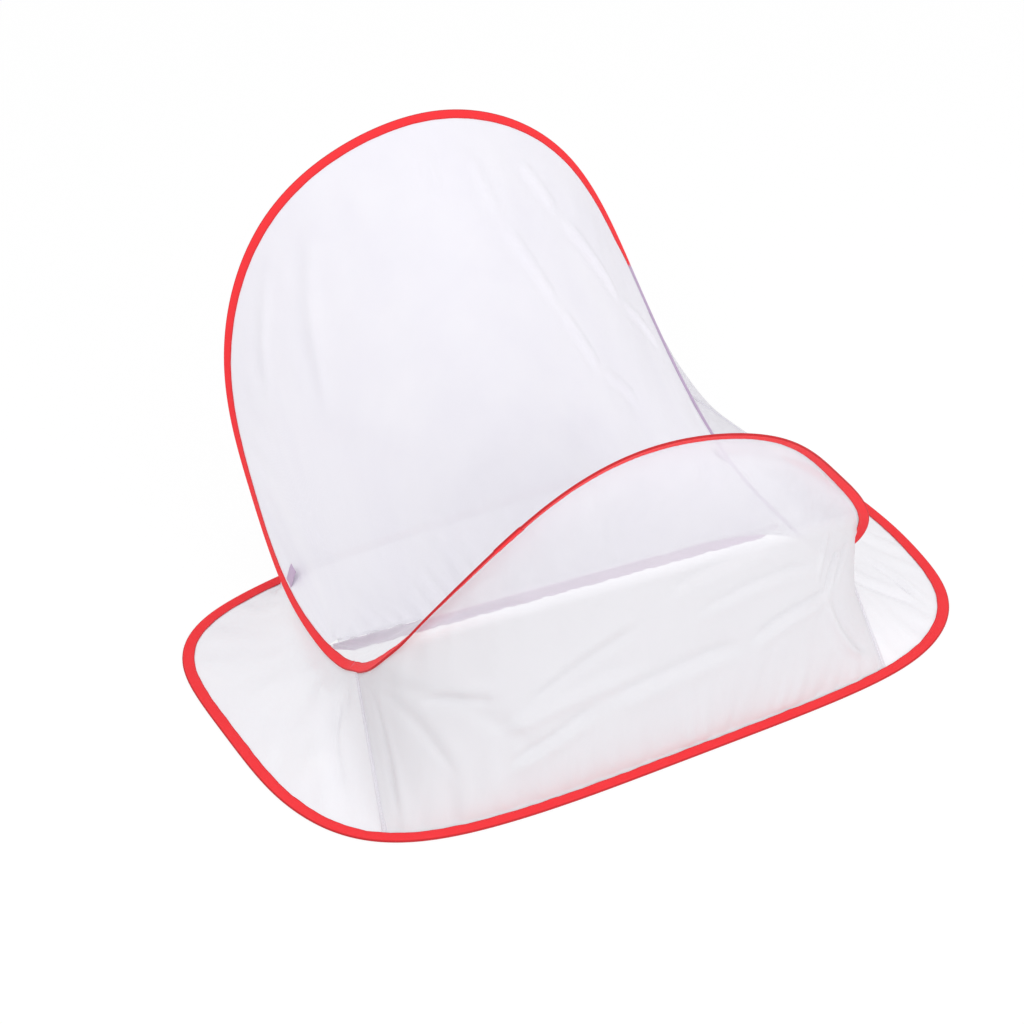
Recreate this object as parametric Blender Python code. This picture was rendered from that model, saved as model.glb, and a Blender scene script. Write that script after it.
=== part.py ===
# Pop-up mosquito net tent for the head and shoulders of a sleeper.
# A flat base hoop lies on the bed. Above it a second sprung hoop is drawn into a saddle
# by a strap: its back arch stands up and its front arch leans forward. Net panels hang
# from the upper hoop to the base hoop, and a slack canopy fills the upper hoop.
# Metres, +Z up, front towards -Y. The origin lies under the middle of the whole outline.

import math

import bmesh
import bpy
import numpy as np
from mathutils import Matrix, Vector

# Driving dimensions of the base hoop
BASE_LENGTH = 1.118
BASE_WIDTH = 0.682
BASE_SQUARENESS = 3.84
BASE_STATIONS = 64

# Driving dimensions of the upper hoop, measured from its two low points
HOOP_HALF_SPAN = 0.372
HOOP_LOW_HEIGHT = 0.069
BACK_REACH = 0.513
BACK_RISE = 0.534
FRONT_REACH = 0.273
FRONT_RISE = 0.406
HOOP_SHIFT_X = -0.012
HOOP_TURN_DEG = -5.0

# Points along one half of each arch, from a low point to the crown:
# across, along and up, as shares of the half span, the reach and the rise
BACK_KNOT_SHARES = (
    (1.008, 0.335, 0.000),
    (0.981, 0.665, 0.140),
    (0.925, 0.940, 0.385),
    (0.683, 1.040, 0.748),
    (0.346, 1.022, 0.937),
    (0.000, 1.000, 1.000),
)
FRONT_KNOT_SHARES = (
    (0.978, 0.425, 0.082),
    (0.971, 0.740, 0.325),
    (0.726, 0.945, 0.675),
    (0.414, 1.045, 0.936),
    (0.000, 1.000, 1.000),
)
BACK_HINGE_KNOT_COUNT = 2
FRONT_HINGE_KNOT_COUNT = 1
BACK_STEPS = 4
FRONT_STEPS = 3

# Spring wire and the folded binding tape that is sewn over it
WIRE_RADIUS = 0.00125
WIRE_PLAY = 0.00035
TAPE_WALL = 0.0009
TAPE_WIDTH = 0.018
FERRULE_LENGTH = 0.024
FERRULE_WALL = 0.0002
FERRULE_PLACE_SHARE = 0.30
OVERLAP_LENGTH = 0.045
OVERLAP_WALL = 0.0008

# Places where the hoop flexes between its side rails and its arches
BEND_HALF_LENGTH = 0.012
WIRE_END_FREE = 0.0015

# Net, seams, strap and tabs
NET_THICKNESS = 0.0008
NET_SIDE_STEP = 0.001
NET_LEAD = 0.003
NET_STATION_GAP = 0.006
SEAM_RADIUS = 0.0012
STRAP_WIDTH = 0.020
STRAP_THICKNESS = 0.0012
STRAP_SETBACK = 0.020
STRAP_TIP_LENGTH = 0.030
STRAP_TIP_WIDTH = 0.009
STRAP_END_GAP = 0.0065
STRAP_END_INSET = 0.008
TAB_LENGTH = 0.034
TAB_WIDTH = 0.020
TAB_THICKNESS = 0.0006

# The two arches, the bends they turn at and the pieces that turn with them
ARCH_HINGES = {"back_arch": ("back_right", "back_left"), "front_arch": ("front_left", "front_right")}
ARCH_PIECES = {
    "back_arch": ("back_arch_binding", "back_arch_wire"),
    "front_arch": ("front_arch_binding", "front_arch_wire_left", "front_arch_wire_right",
                   "hoop_wire_ferrule", "hoop_binding_overlap"),
}

# Clearances between touching pieces
CUT = 0.0004
NET_GAP = 0.0005
STITCH_GAP = 0.0004
SEAM_GAP = 0.0014

# Where the corner seams start, as a share of the hoop from the right low point over the
# back crown and on round the front
SEAM_HOOP_SHARES = {"rear_right": 0.092, "rear_left": 0.497, "front_left": 0.610, "front_right": 0.985}

# How the skirt fans out: shares of the hoop, and the direction in degrees, seen from the
# middle of the base, of the point of the base hoop below
FAN_HOOP_SHARES = (0.000, 0.050, 0.092, 0.112, 0.139, 0.152, 0.200, 0.294, 0.400, 0.497, 0.530, 0.560,
                   0.588, 0.610, 0.700, 0.794, 0.900, 0.985)
FAN_BASE_DEGREES = (-25.0, 3.0, 19.0, 27.5, 36.0, 41.0, 50.0, 88.0, 118.0, 137.0, 155.0, 170.0,
                    187.0, 210.0, 227.0, 270.0, 300.0, 316.0)

# Places of the two small tabs, as shares of the same round
RIGHT_TAB_SHARE = 0.055
LEFT_TAB_SHARE = 0.540

# Rows of each net between its two edges, and the rounds that even out its hang
CANOPY_BACK_ROWS = 8
CANOPY_FRONT_ROWS = 6
SKIRT_ROWS = 6
CANOPY_HANG_ROUNDS = 240
SKIRT_HANG_ROUNDS = 6

# Main folds: place along the top edge, width and lean towards the other edge, as shares
# of the sheet, and depth
CANOPY_BACK_FOLDS = ((0.24, 0.040, -0.06, 0.014), (0.33, 0.030, -0.10, -0.010), (0.60, 0.050, 0.02, 0.008))
CANOPY_FRONT_FOLDS = ((0.45, 0.050, 0.05, 0.008), (0.70, 0.040, 0.04, -0.006))
FRONT_FOLDS = ((0.30, 0.045, 0.10, 0.012), (0.52, 0.040, 0.12, -0.010), (0.74, 0.050, -0.10, 0.012))
REAR_FOLDS = ((0.30, 0.050, 0.04, 0.010), (0.55, 0.060, -0.05, -0.008), (0.78, 0.045, 0.02, 0.010))
END_FOLDS = ((0.40, 0.070, 0.05, 0.006), (0.75, 0.060, -0.04, -0.005))

WIRE_ROUNDING_COUNT = 1
SMOOTHING_ROUNDS = 4
NEAR_PARALLEL = math.radians(60.0)
DENSE = 2000

# Sizes that follow
SLOT_HALF = WIRE_RADIUS + WIRE_PLAY
TAPE_HALF = SLOT_HALF + TAPE_WALL
TAPE_REACH = TAPE_WIDTH - TAPE_HALF
STRAP_TOP = HOOP_LOW_HEIGHT
WIRE_LIFT = TAPE_HALF


def clear_scene():
    for item in list(bpy.data.objects):
        bpy.data.objects.remove(item, do_unlink=True)


def material(name, colour, roughness, metallic=0.0):
    made = bpy.data.materials.new(name)
    made.use_nodes = True
    shader = made.node_tree.nodes["Principled BSDF"]
    shader.inputs["Base Color"].default_value = (*colour, 1.0)
    shader.inputs["Roughness"].default_value = roughness
    shader.inputs["Metallic"].default_value = metallic
    return made


def unit(vectors):
    return vectors / np.linalg.norm(vectors, axis=-1, keepdims=True)


class ClosedCurve:
    """Smooth closed curve through its knots, by the distance from the first knot."""

    def __init__(self, knots):
        self.points = np.vstack([knots, knots[:1]])
        steps = np.linalg.norm(np.diff(self.points, axis=0), axis=1)
        self.at = np.concatenate([[0.0], np.cumsum(steps)])
        self.steps = steps
        count = len(knots)
        system = np.zeros((count, count))
        wanted = np.zeros((count, 3))
        slopes = np.diff(self.points, axis=0) / steps[:, None]
        for i in range(count):
            before = steps[i - 1]
            after = steps[i]
            system[i, i - 1] += before
            system[i, i] += 2 * (before + after)
            system[i, (i + 1) % count] += after
            wanted[i] = 6 * (slopes[i] - slopes[i - 1])
        bends = np.linalg.solve(system, wanted)
        self.bends = np.vstack([bends, bends[:1]])

    @property
    def length(self):
        return self.at[-1]

    def place(self, distance):
        distance = np.mod(np.asarray(distance, float), self.length)
        i = np.clip(np.searchsorted(self.at, distance, side="right") - 1, 0, len(self.steps) - 1)
        h = self.steps[i][:, None]
        a = (self.at[i + 1] - distance)[:, None] / h
        b = 1 - a
        curve = (a**3 - a) * self.bends[i] + (b**3 - b) * self.bends[i + 1]
        return a * self.points[i] + b * self.points[i + 1] + curve * h**2 / 6

    def heading(self, distance):
        small = self.length / DENSE
        return unit(self.place(distance + small) - self.place(distance - small))


def along(distances, values, wanted, period):
    """Straight-line readings between stations of a closed outline."""
    places = np.concatenate([distances, [distances[0] + period]])
    rows = np.vstack([values, values[:1]])
    wanted = np.mod(np.asarray(wanted, float) - distances[0], period) + distances[0]
    return np.stack([np.interp(wanted, places, rows[:, k]) for k in range(rows.shape[1])], axis=1)


def base_outline():
    """Wire centre line of the base hoop, at even steps, and its distances."""
    angles = np.linspace(0.0, 2 * math.pi, DENSE, endpoint=False)
    half_length = BASE_LENGTH / 2 - TAPE_HALF
    half_width = BASE_WIDTH / 2 - TAPE_HALF
    across = np.cos(angles)
    deep = np.sin(angles)
    shape = np.abs(across / half_length) ** BASE_SQUARENESS + np.abs(deep / half_width) ** BASE_SQUARENESS
    reach = shape ** (-1 / BASE_SQUARENESS)
    dense = np.stack([reach * across, reach * deep, np.zeros_like(angles)], axis=1)
    closed = np.vstack([dense, dense[:1]])
    run = np.concatenate([[0.0], np.cumsum(np.linalg.norm(np.diff(closed, axis=0), axis=1))])
    even = np.linspace(0.0, run[-1], BASE_STATIONS, endpoint=False)
    points = np.stack([np.interp(even, run, closed[:, k]) for k in range(3)], axis=1)
    turns = np.radians(np.mod(FAN_BASE_DEGREES, 360.0))
    fan_runs = np.interp(turns, angles, run[:-1])
    fan_runs[0] -= run[-1]
    return points, even, float(run[-1]), fan_runs


def hoop_knots():
    """Knots of the upper hoop, from the right low point over the back crown and round the front."""
    right_back = [(HOOP_HALF_SPAN * x, BACK_REACH * y, BACK_RISE * z) for x, y, z in BACK_KNOT_SHARES]
    right_front = [(HOOP_HALF_SPAN * x, -FRONT_REACH * y, FRONT_RISE * z) for x, y, z in FRONT_KNOT_SHARES]
    left_back = [(-x, y, z) for x, y, z in right_back[-2::-1]]
    left_front = [(-x, y, z) for x, y, z in right_front]
    knots = [(HOOP_HALF_SPAN, 0.0, 0.0)] + right_back + left_back
    knots += [(-HOOP_HALF_SPAN, 0.0, 0.0)] + left_front + right_front[-2::-1]
    turn = math.radians(HOOP_TURN_DEG)
    placed = []
    for x, y, z in knots:
        turned_x = HOOP_SHIFT_X + x * math.cos(turn) - y * math.sin(turn)
        turned_y = x * math.sin(turn) + y * math.cos(turn)
        placed.append((turned_x, turned_y, z + HOOP_LOW_HEIGHT))
    return np.array(placed)


def hoop_frame_point(across, deep, up):
    """A point given in the hoop's own turned frame, at its height above the bed."""
    turn = math.radians(HOOP_TURN_DEG)
    return np.array([
        HOOP_SHIFT_X + across * math.cos(turn) - deep * math.sin(turn),
        across * math.sin(turn) + deep * math.cos(turn),
        up,
    ])


clear_scene()

RED_TAPE = material("red_binding", (0.93, 0.045, 0.05), 0.62)
WHITE_NET = material("white_net", (0.86, 0.85, 0.90), 0.85)
LAVENDER_TAPE = material("lavender_tape", (0.62, 0.52, 0.68), 0.7)
SPRING_STEEL = material("spring_steel", (0.45, 0.46, 0.48), 0.35, 1.0)
SEAM_THREAD = material("seam_thread", (0.78, 0.75, 0.83), 0.8)

base_points, base_runs, base_round, fan_runs = base_outline()
hoop = ClosedCurve(hoop_knots())

# Distances along the hoop of its low points, hinges and crowns
back_count = len(BACK_KNOT_SHARES)
front_count = len(FRONT_KNOT_SHARES)
left_low_knot = 2 * back_count
hoop_at = {
    "right_low": 0.0,
    "back_right": hoop.at[BACK_HINGE_KNOT_COUNT],
    "back_crown": hoop.at[back_count],
    "back_left": hoop.at[left_low_knot - BACK_HINGE_KNOT_COUNT],
    "left_low": hoop.at[left_low_knot],
    "front_left": hoop.at[left_low_knot + FRONT_HINGE_KNOT_COUNT],
    "front_crown": hoop.at[left_low_knot + front_count],
    "front_right": hoop.at[-1 - FRONT_HINGE_KNOT_COUNT],
}
HINGES = ("back_right", "back_left", "front_left", "front_right")

# The whole outline is moved so that the origin lies under its middle
dense_hoop = hoop.place(np.linspace(0.0, hoop.length, DENSE, endpoint=False))
outline_back = dense_hoop[:, 1].max() + TAPE_HALF
outline_front = -BASE_WIDTH / 2
DEPTH_SHIFT = np.array([0.0, -(outline_back + outline_front) / 2, 0.0])

# Stations of the hoop, with a cut on each side of every bend
regular = []
for knot in range(len(hoop.steps)):
    steps = BACK_STEPS if knot < left_low_knot else FRONT_STEPS
    for step in range(steps):
        regular.append(hoop.at[knot] + hoop.steps[knot] * step / steps)
cuts = {name: {} for name in HINGES}
for name in HINGES:
    cuts[name]["before"] = hoop_at[name] - BEND_HALF_LENGTH - CUT / 2
    cuts[name]["start"] = hoop_at[name] - BEND_HALF_LENGTH + CUT / 2
    cuts[name]["end"] = hoop_at[name] + BEND_HALF_LENGTH - CUT / 2
    cuts[name]["after"] = hoop_at[name] + BEND_HALF_LENGTH + CUT / 2
net_stations = np.array(sorted(regular + [cuts[n][k] for n in HINGES for k in ("before", "after")]))
all_stations = np.array(sorted(list(net_stations) + [cuts[n][k] for n in HINGES for k in ("start", "end")]))

# Strap line between the low points, and the point of it that each hoop station looks at
strap_half = HOOP_HALF_SPAN - TAPE_HALF - STRAP_END_GAP
left_low = hoop_at["left_low"]


def strap_reading(distance):
    """Across position on the strap for a distance along the hoop."""
    distance = np.mod(np.asarray(distance, float), hoop.length)
    back_share = distance / left_low
    front_share = (hoop.length - distance) / (hoop.length - left_low)
    share = np.where(distance <= left_low, back_share, front_share)
    return (strap_half - STRAP_END_INSET) * (1 - 2 * share)


def skirt_base_run(distance):
    """Distance along the base hoop that lies below a distance along the upper hoop."""
    tops = np.array(FAN_HOOP_SHARES) * hoop.length
    tops = np.concatenate([tops[-2:] - hoop.length, tops, tops[:2] + hoop.length])
    feet = np.concatenate([fan_runs[-2:] - base_round, fan_runs, fan_runs[:2] + base_round])
    return np.interp(np.asarray(distance, float), tops, feet)


def square_to(vectors, heading):
    """Unit vectors with their share along the heading taken out."""
    return unit(vectors - heading * np.sum(vectors * heading, axis=1, keepdims=True))


def leaving(far_points, heading, rounds):
    """Directions, square to the hoop, in which a net that hangs to the far points leaves it."""
    shares = np.linspace(0.0, 1.0, SKIRT_ROWS)[:, None, None]
    grid = hoop.place(net_stations)[None] * (1 - shares) + far_points[None] * shares
    for _ in range(rounds):
        inner = grid[1:-1]
        beside = np.roll(inner, 1, axis=1) + np.roll(inner, -1, axis=1)
        grid[1:-1] = (grid[:-2] + grid[2:] + beside) / 4
    return square_to(grid[1] - grid[0], heading)


def hoop_frames(distances):
    """Wire centres with the tape's width direction, midway between its two nets, and its normal."""
    heading = hoop.heading(net_stations)
    seats = np.array([hoop_frame_point(x, STRAP_SETBACK, STRAP_TOP) for x in strap_reading(net_stations)])
    feet = along(base_runs, base_points, skirt_base_run(net_stations), base_round)
    inward = leaving(seats, heading, CANOPY_HANG_ROUNDS)
    outward = leaving(feet, heading, SKIRT_HANG_ROUNDS)
    turned = np.cross(outward, inward)
    angle = np.arctan2(np.sum(turned * heading, axis=1), np.sum(outward * inward, axis=1))
    half = (np.mod(angle + NEAR_PARALLEL, 2 * math.pi) - NEAR_PARALLEL)[:, None] / 2
    middle = outward * np.cos(half) + np.cross(heading, outward) * np.sin(half)
    heading = hoop.heading(distances)
    width = square_to(along(net_stations, middle, distances, hoop.length), heading)
    for _ in range(SMOOTHING_ROUNDS):
        width = np.roll(width, 1, axis=0) + 2 * width + np.roll(width, -1, axis=0)
        width = square_to(width, heading)
    return hoop.place(distances), width, np.cross(heading, width)


frame_centres, frame_widths, frame_normals = hoop_frames(all_stations)


def pick(values, wanted):
    return along(all_stations, values, wanted, hoop.length)


def between(start, end, source):
    """Stations from start to end, also where the run passes the right low point."""
    if end < start:
        end += hoop.length
    doubled = np.concatenate([source, source + hoop.length])
    inner = doubled[(doubled > start + CUT / 4) & (doubled < end - CUT / 4)]
    return np.concatenate([[start], inner, [end]])


def tape_section():
    """Folded tape: two leaves joined by a round fold, with a slot that holds the wire."""
    fold = [math.radians(a) for a in (90, 135, 180, 225, 270)]
    outer = [(TAPE_REACH, TAPE_HALF)] + [(TAPE_HALF * math.cos(a), TAPE_HALF * math.sin(a)) for a in fold]
    outer.append((TAPE_REACH, -TAPE_HALF))
    inner = [(SLOT_HALF * math.cos(a), SLOT_HALF * math.sin(a)) for a in reversed(fold)]
    inner = [(TAPE_REACH, -SLOT_HALF)] + inner + [(TAPE_REACH, SLOT_HALF)]
    return np.array(outer + inner)


def overlap_section():
    """Second turn of tape that wraps the joint of the binding."""
    inside = TAPE_HALF + STITCH_GAP
    outside = inside + OVERLAP_WALL
    fold = [math.radians(a) for a in (90, 135, 180, 225, 270)]
    outer = [(TAPE_REACH, outside)] + [(outside * math.cos(a), outside * math.sin(a)) for a in fold]
    outer.append((TAPE_REACH, -outside))
    inner = [(inside * math.cos(a), inside * math.sin(a)) for a in reversed(fold)]
    inner = [(TAPE_REACH, -inside)] + inner + [(TAPE_REACH, inside)]
    return np.array(outer + inner)


def finish_mesh(name, mesh_data, finish):
    mesh = bpy.data.meshes.new(name)
    bmesh.ops.recalc_face_normals(mesh_data, faces=mesh_data.faces)
    mesh_data.to_mesh(mesh)
    mesh_data.free()
    mesh.materials.append(finish)
    made = bpy.data.objects.new(name, mesh)
    bpy.context.scene.collection.objects.link(made)
    return made


def shade_round(made, limit_degrees=40.0):
    made.data.shade_smooth()
    made.data.set_sharp_from_angle(angle=math.radians(limit_degrees))


def swept(name, centres, widths, normals, section, closed, finish):
    """A section carried along a path; open paths end in flat caps."""
    mesh_data = bmesh.new()
    rings = []
    for centre, width, normal in zip(centres, widths, normals):
        points = [centre + width * w + normal * n + DEPTH_SHIFT for w, n in section]
        rings.append([mesh_data.verts.new(p) for p in points])
    sides = len(section)
    spans = len(rings) if closed else len(rings) - 1
    for i in range(spans):
        near = rings[i]
        far = rings[(i + 1) % len(rings)]
        for k in range(sides):
            step = (k + 1) % sides
            # Both faces of a leaf are split the same way, so its wall stays even where it twists
            if section[k][0] < section[step][0]:
                mesh_data.faces.new((near[k], near[step], far[k]))
                mesh_data.faces.new((near[step], far[step], far[k]))
            else:
                mesh_data.faces.new((near[k], near[step], far[step]))
                mesh_data.faces.new((near[k], far[step], far[k]))
    if not closed:
        mesh_data.faces.new(rings[0][::-1])
        mesh_data.faces.new(rings[-1])
    made = finish_mesh(name, mesh_data, finish)
    shade_round(made)
    return made


def tube(name, points, radius, finish):
    """Round wire or bead along a path, with filled ends."""
    curve = bpy.data.curves.new(name, "CURVE")
    curve.dimensions = "3D"
    curve.bevel_depth = radius
    curve.bevel_resolution = WIRE_ROUNDING_COUNT
    curve.use_fill_caps = True
    spline = curve.splines.new("POLY")
    spline.points.add(len(points) - 1)
    for knot, point in zip(spline.points, points):
        knot.co = (*(point + DEPTH_SHIFT), 1.0)
    curve.materials.append(finish)
    made = bpy.data.objects.new(name, curve)
    bpy.context.scene.collection.objects.link(made)
    return made


def hung(grid, rounds):
    """Evens the inner points of a sheet so that it hangs between its fixed edges."""
    grid = grid.copy()
    for _ in range(rounds):
        inner = grid[:-2, 1:-1] + grid[2:, 1:-1] + grid[1:-1, :-2] + grid[1:-1, 2:]
        grid[1:-1, 1:-1] = inner / 4
    return grid


def folded(grid, folds):
    """Adds the main folds, deepest halfway between the two edges."""
    rows, columns = grid.shape[:2]
    run = np.gradient(grid, axis=1)
    drop = np.gradient(grid, axis=0)
    normals = unit(np.cross(run, drop))
    down = np.linspace(0.0, 1.0, rows)[:, None]
    place = np.linspace(0.0, 1.0, columns)[None, :]
    depth = np.zeros((rows, columns))
    for centre, spread, lean, height in folds:
        depth += height * np.exp(-(((place - centre - lean * down) / spread) ** 2))
    fade = np.sin(math.pi * down) * np.sin(math.pi * place)
    fade[:2] = 0.0
    fade[-2:] = 0.0
    return grid + normals * (depth * fade)[:, :, None]


def sheet(name, grid, finish):
    """A net panel: a grid of points given its thickness by a solidify modifier."""
    rows, columns = grid.shape[:2]
    mesh_data = bmesh.new()
    verts = [[mesh_data.verts.new(grid[i, j] + DEPTH_SHIFT) for j in range(columns)] for i in range(rows)]
    for i in range(rows - 1):
        for j in range(columns - 1):
            corners = (verts[i][j], verts[i][j + 1], verts[i + 1][j + 1], verts[i + 1][j])
            mesh_data.faces.new(corners)
    made = finish_mesh(name, mesh_data, finish)
    thick = made.modifiers.new("thickness", "SOLIDIFY")
    thick.thickness = NET_THICKNESS
    thick.offset = 0.0
    made.data.shade_smooth()
    return made


def rows_between(first, second, last_but_one, last, count):
    """Grid rows from one bound edge to the other, with a short straight lead at each."""
    shares = np.linspace(0.0, 1.0, count)[:, None, None]
    middle = second[None] * (1 - shares) + last_but_one[None] * shares
    return np.concatenate([first[None], middle, last[None]])


# Base hoop
base_widths = []
for i in range(BASE_STATIONS):
    run = base_points[(i + 1) % BASE_STATIONS] - base_points[i - 1]
    base_widths.append((-run[1], run[0], 0.0))
base_widths = unit(np.array(base_widths))
base_normals = np.tile([0.0, 0.0, 1.0], (BASE_STATIONS, 1))
base_centres = base_points + np.array([0.0, 0.0, WIRE_LIFT])
swept("base_binding", base_centres, base_widths, base_normals, tape_section(), True, RED_TAPE)

# The base wire is open at the middle of the rear edge, where the ferrule joins its ends
rear_run = float(base_runs[np.argmax(base_points[:, 1] - np.abs(base_points[:, 0]))])


def base_line(start, end):
    inner = np.concatenate([base_runs, base_runs + base_round])
    inner = inner[(inner > start + CUT) & (inner < end - CUT)]
    wanted = np.concatenate([[start], inner, [end]])
    return along(base_runs, base_centres, wanted, base_round)


ferrule_half = FERRULE_LENGTH / 2
tube("base_wire", base_line(rear_run + ferrule_half + CUT, rear_run + base_round - ferrule_half - CUT),
     WIRE_RADIUS, SPRING_STEEL)
tube("base_wire_ferrule", base_line(rear_run - ferrule_half, rear_run + ferrule_half),
     WIRE_RADIUS + FERRULE_WALL, SPRING_STEEL)


# Upper hoop: side rails, arches and the bends between them
def hoop_tape(name, start, end):
    wanted = between(start, end, all_stations)
    swept(name, pick(frame_centres, wanted), pick(frame_widths, wanted), pick(frame_normals, wanted),
          tape_section(), False, RED_TAPE)


def hoop_wire(name, start, end, radius=WIRE_RADIUS):
    wanted = between(start, end, all_stations)
    tube(name, pick(frame_centres, wanted), radius, SPRING_STEEL)


hoop_tape("back_arch_binding", cuts["back_right"]["after"], cuts["back_left"]["before"])
hoop_tape("front_arch_binding", cuts["front_left"]["after"], cuts["front_right"]["before"])
hoop_tape("left_rail_binding", cuts["back_left"]["after"], cuts["front_left"]["before"])
hoop_tape("right_rail_binding", cuts["front_right"]["after"], cuts["back_right"]["before"])
BEND_NAMES = {"back_right": "rear_right_bend", "back_left": "rear_left_bend",
              "front_left": "front_left_bend", "front_right": "front_right_bend"}
for hinge, bend_name in BEND_NAMES.items():
    hoop_tape(bend_name, cuts[hinge]["start"], cuts[hinge]["end"])

hoop_wire("back_arch_wire", hoop_at["back_right"] + WIRE_END_FREE, hoop_at["back_left"] - WIRE_END_FREE)
hoop_wire("left_rail_wire", hoop_at["back_left"] + WIRE_END_FREE, hoop_at["front_left"] - WIRE_END_FREE)
hoop_wire("right_rail_wire", hoop_at["front_right"] + WIRE_END_FREE, hoop_at["back_right"] - WIRE_END_FREE)
front_run = hoop_at["front_right"] - hoop_at["front_left"]
ferrule_at = hoop_at["front_left"] + front_run * FERRULE_PLACE_SHARE
hoop_wire("front_arch_wire_left", hoop_at["front_left"] + WIRE_END_FREE, ferrule_at - ferrule_half - CUT)
hoop_wire("front_arch_wire_right", ferrule_at + ferrule_half + CUT, hoop_at["front_right"] - WIRE_END_FREE)
hoop_wire("hoop_wire_ferrule", ferrule_at - ferrule_half, ferrule_at + ferrule_half,
          WIRE_RADIUS + FERRULE_WALL)

overlap_stations = between(ferrule_at - OVERLAP_LENGTH / 2, ferrule_at + OVERLAP_LENGTH / 2, all_stations)
swept("hoop_binding_overlap", pick(frame_centres, overlap_stations), pick(frame_widths, overlap_stations),
      pick(frame_normals, overlap_stations), overlap_section(), False, RED_TAPE)

# Edges of the nets at the mouth of the tape: the canopy on the upper side, the skirt below
mouth = TAPE_REACH + NET_GAP


def hoop_edge(wanted, side, reach):
    return pick(frame_centres + frame_widths * reach + frame_normals * side * NET_SIDE_STEP, wanted)


base_mouth = base_centres + base_widths * mouth
base_lead = base_centres + base_widths * (mouth + NET_LEAD)


# Canopy, in two halves that meet above the strap
def canopy(name, start, end, row_count, folds, side):
    wanted = between(start, end, net_stations)
    wanted[0] += NET_LEAD
    wanted[-1] -= NET_LEAD
    shares = (wanted - wanted[0]) / (wanted[-1] - wanted[0])
    across = side * (strap_half - STRAP_END_INSET) * (1 - 2 * shares)
    top = STRAP_TOP + NET_GAP + NET_THICKNESS / 2
    deep = STRAP_SETBACK + side * (NET_THICKNESS / 2 + NET_GAP / 2)
    seat = np.array([hoop_frame_point(x, deep, top) for x in across])
    lead = np.array([hoop_frame_point(x, deep + side * NET_LEAD, top + NET_LEAD) for x in across])
    grid = rows_between(hoop_edge(wanted, 1, mouth), hoop_edge(wanted, 1, mouth + NET_LEAD), lead, seat,
                        row_count)
    grid[1:-1] = hung(grid[1:-1], CANOPY_HANG_ROUNDS)
    sheet(name, folded(grid, folds), WHITE_NET)


canopy("canopy_back", STRAP_SETBACK + NET_LEAD, left_low - STRAP_SETBACK - NET_LEAD, CANOPY_BACK_ROWS,
       CANOPY_BACK_FOLDS, 1)
canopy("canopy_front", left_low - STRAP_SETBACK + NET_LEAD, hoop.length + STRAP_SETBACK - NET_LEAD,
       CANOPY_FRONT_ROWS, CANOPY_FRONT_FOLDS, -1)


# Skirt: four panels with a bead of seam at each corner
def skirt_columns(wanted):
    first = hoop_edge(wanted, -1, mouth)
    second = hoop_edge(wanted, -1, mouth + NET_LEAD)
    feet = skirt_base_run(wanted)
    last = along(base_runs, base_mouth, feet, base_round)
    last_but_one = along(base_runs, base_lead, feet, base_round)
    return rows_between(first, second, last_but_one, last, SKIRT_ROWS)


def panel(name, start_seam, end_seam, folds):
    start = SEAM_HOOP_SHARES[start_seam] * hoop.length
    end = SEAM_HOOP_SHARES[end_seam] * hoop.length
    if end < start:
        start -= hoop.length
    tops = np.linspace(start, end, DENSE)
    feet = skirt_base_run(tops)
    wrapped = np.concatenate([base_runs - base_round, base_runs, base_runs + base_round])
    wrapped = wrapped[(wrapped > feet[0]) & (wrapped < feet[-1])]
    from_base = np.interp(wrapped, feet, tops)
    doubled = np.concatenate([net_stations - hoop.length, net_stations])
    from_hoop = doubled[(doubled > start) & (doubled < end)]
    wanted = np.unique(np.concatenate([[start], from_hoop, from_base, [end]]))
    apart = np.concatenate([[True], np.diff(wanted) > NET_STATION_GAP])
    wanted = wanted[apart]
    wanted[-1] = end
    grid = skirt_columns(wanted)
    grid[1:-1] = hung(grid[1:-1], SKIRT_HANG_ROUNDS)
    grid = folded(grid, folds)
    clear = SEAM_RADIUS + SEAM_GAP
    grid[:, 0] += unit(grid[:, 1] - grid[:, 0]) * clear
    grid[:, -1] += unit(grid[:, -2] - grid[:, -1]) * clear
    sheet(name, grid, WHITE_NET)


panel("rear_panel", "rear_right", "rear_left", REAR_FOLDS)
panel("left_end_panel", "rear_left", "front_left", END_FOLDS)
panel("front_panel", "front_left", "front_right", FRONT_FOLDS)
panel("right_end_panel", "front_right", "rear_right", END_FOLDS)

for corner in SEAM_HOOP_SHARES:
    line = skirt_columns(np.array([SEAM_HOOP_SHARES[corner] * hoop.length]))[:, 0]
    tube(corner + "_seam", line, SEAM_RADIUS, SEAM_THREAD)


# Strap between the low points, narrowed to a sewn tip at each end
def strap():
    half_thick = STRAP_THICKNESS / 2
    stations = (-strap_half, -strap_half + STRAP_TIP_LENGTH, strap_half - STRAP_TIP_LENGTH, strap_half)
    widths = (STRAP_TIP_WIDTH, STRAP_WIDTH, STRAP_WIDTH, STRAP_TIP_WIDTH)
    mesh_data = bmesh.new()
    rings = []
    for across, width in zip(stations, widths):
        low = STRAP_TOP - width
        corners = ((-half_thick, low), (half_thick, low), (half_thick, STRAP_TOP), (-half_thick, STRAP_TOP))
        ring = [hoop_frame_point(across, STRAP_SETBACK + d, up) + DEPTH_SHIFT for d, up in corners]
        rings.append([mesh_data.verts.new(p) for p in ring])
    for near, far in zip(rings, rings[1:]):
        for k in range(4):
            mesh_data.faces.new((near[k], near[(k + 1) % 4], far[(k + 1) % 4], far[k]))
    mesh_data.faces.new(rings[0][::-1])
    mesh_data.faces.new(rings[-1])
    finish_mesh("tie_strap", mesh_data, LAVENDER_TAPE)


strap()


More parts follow.
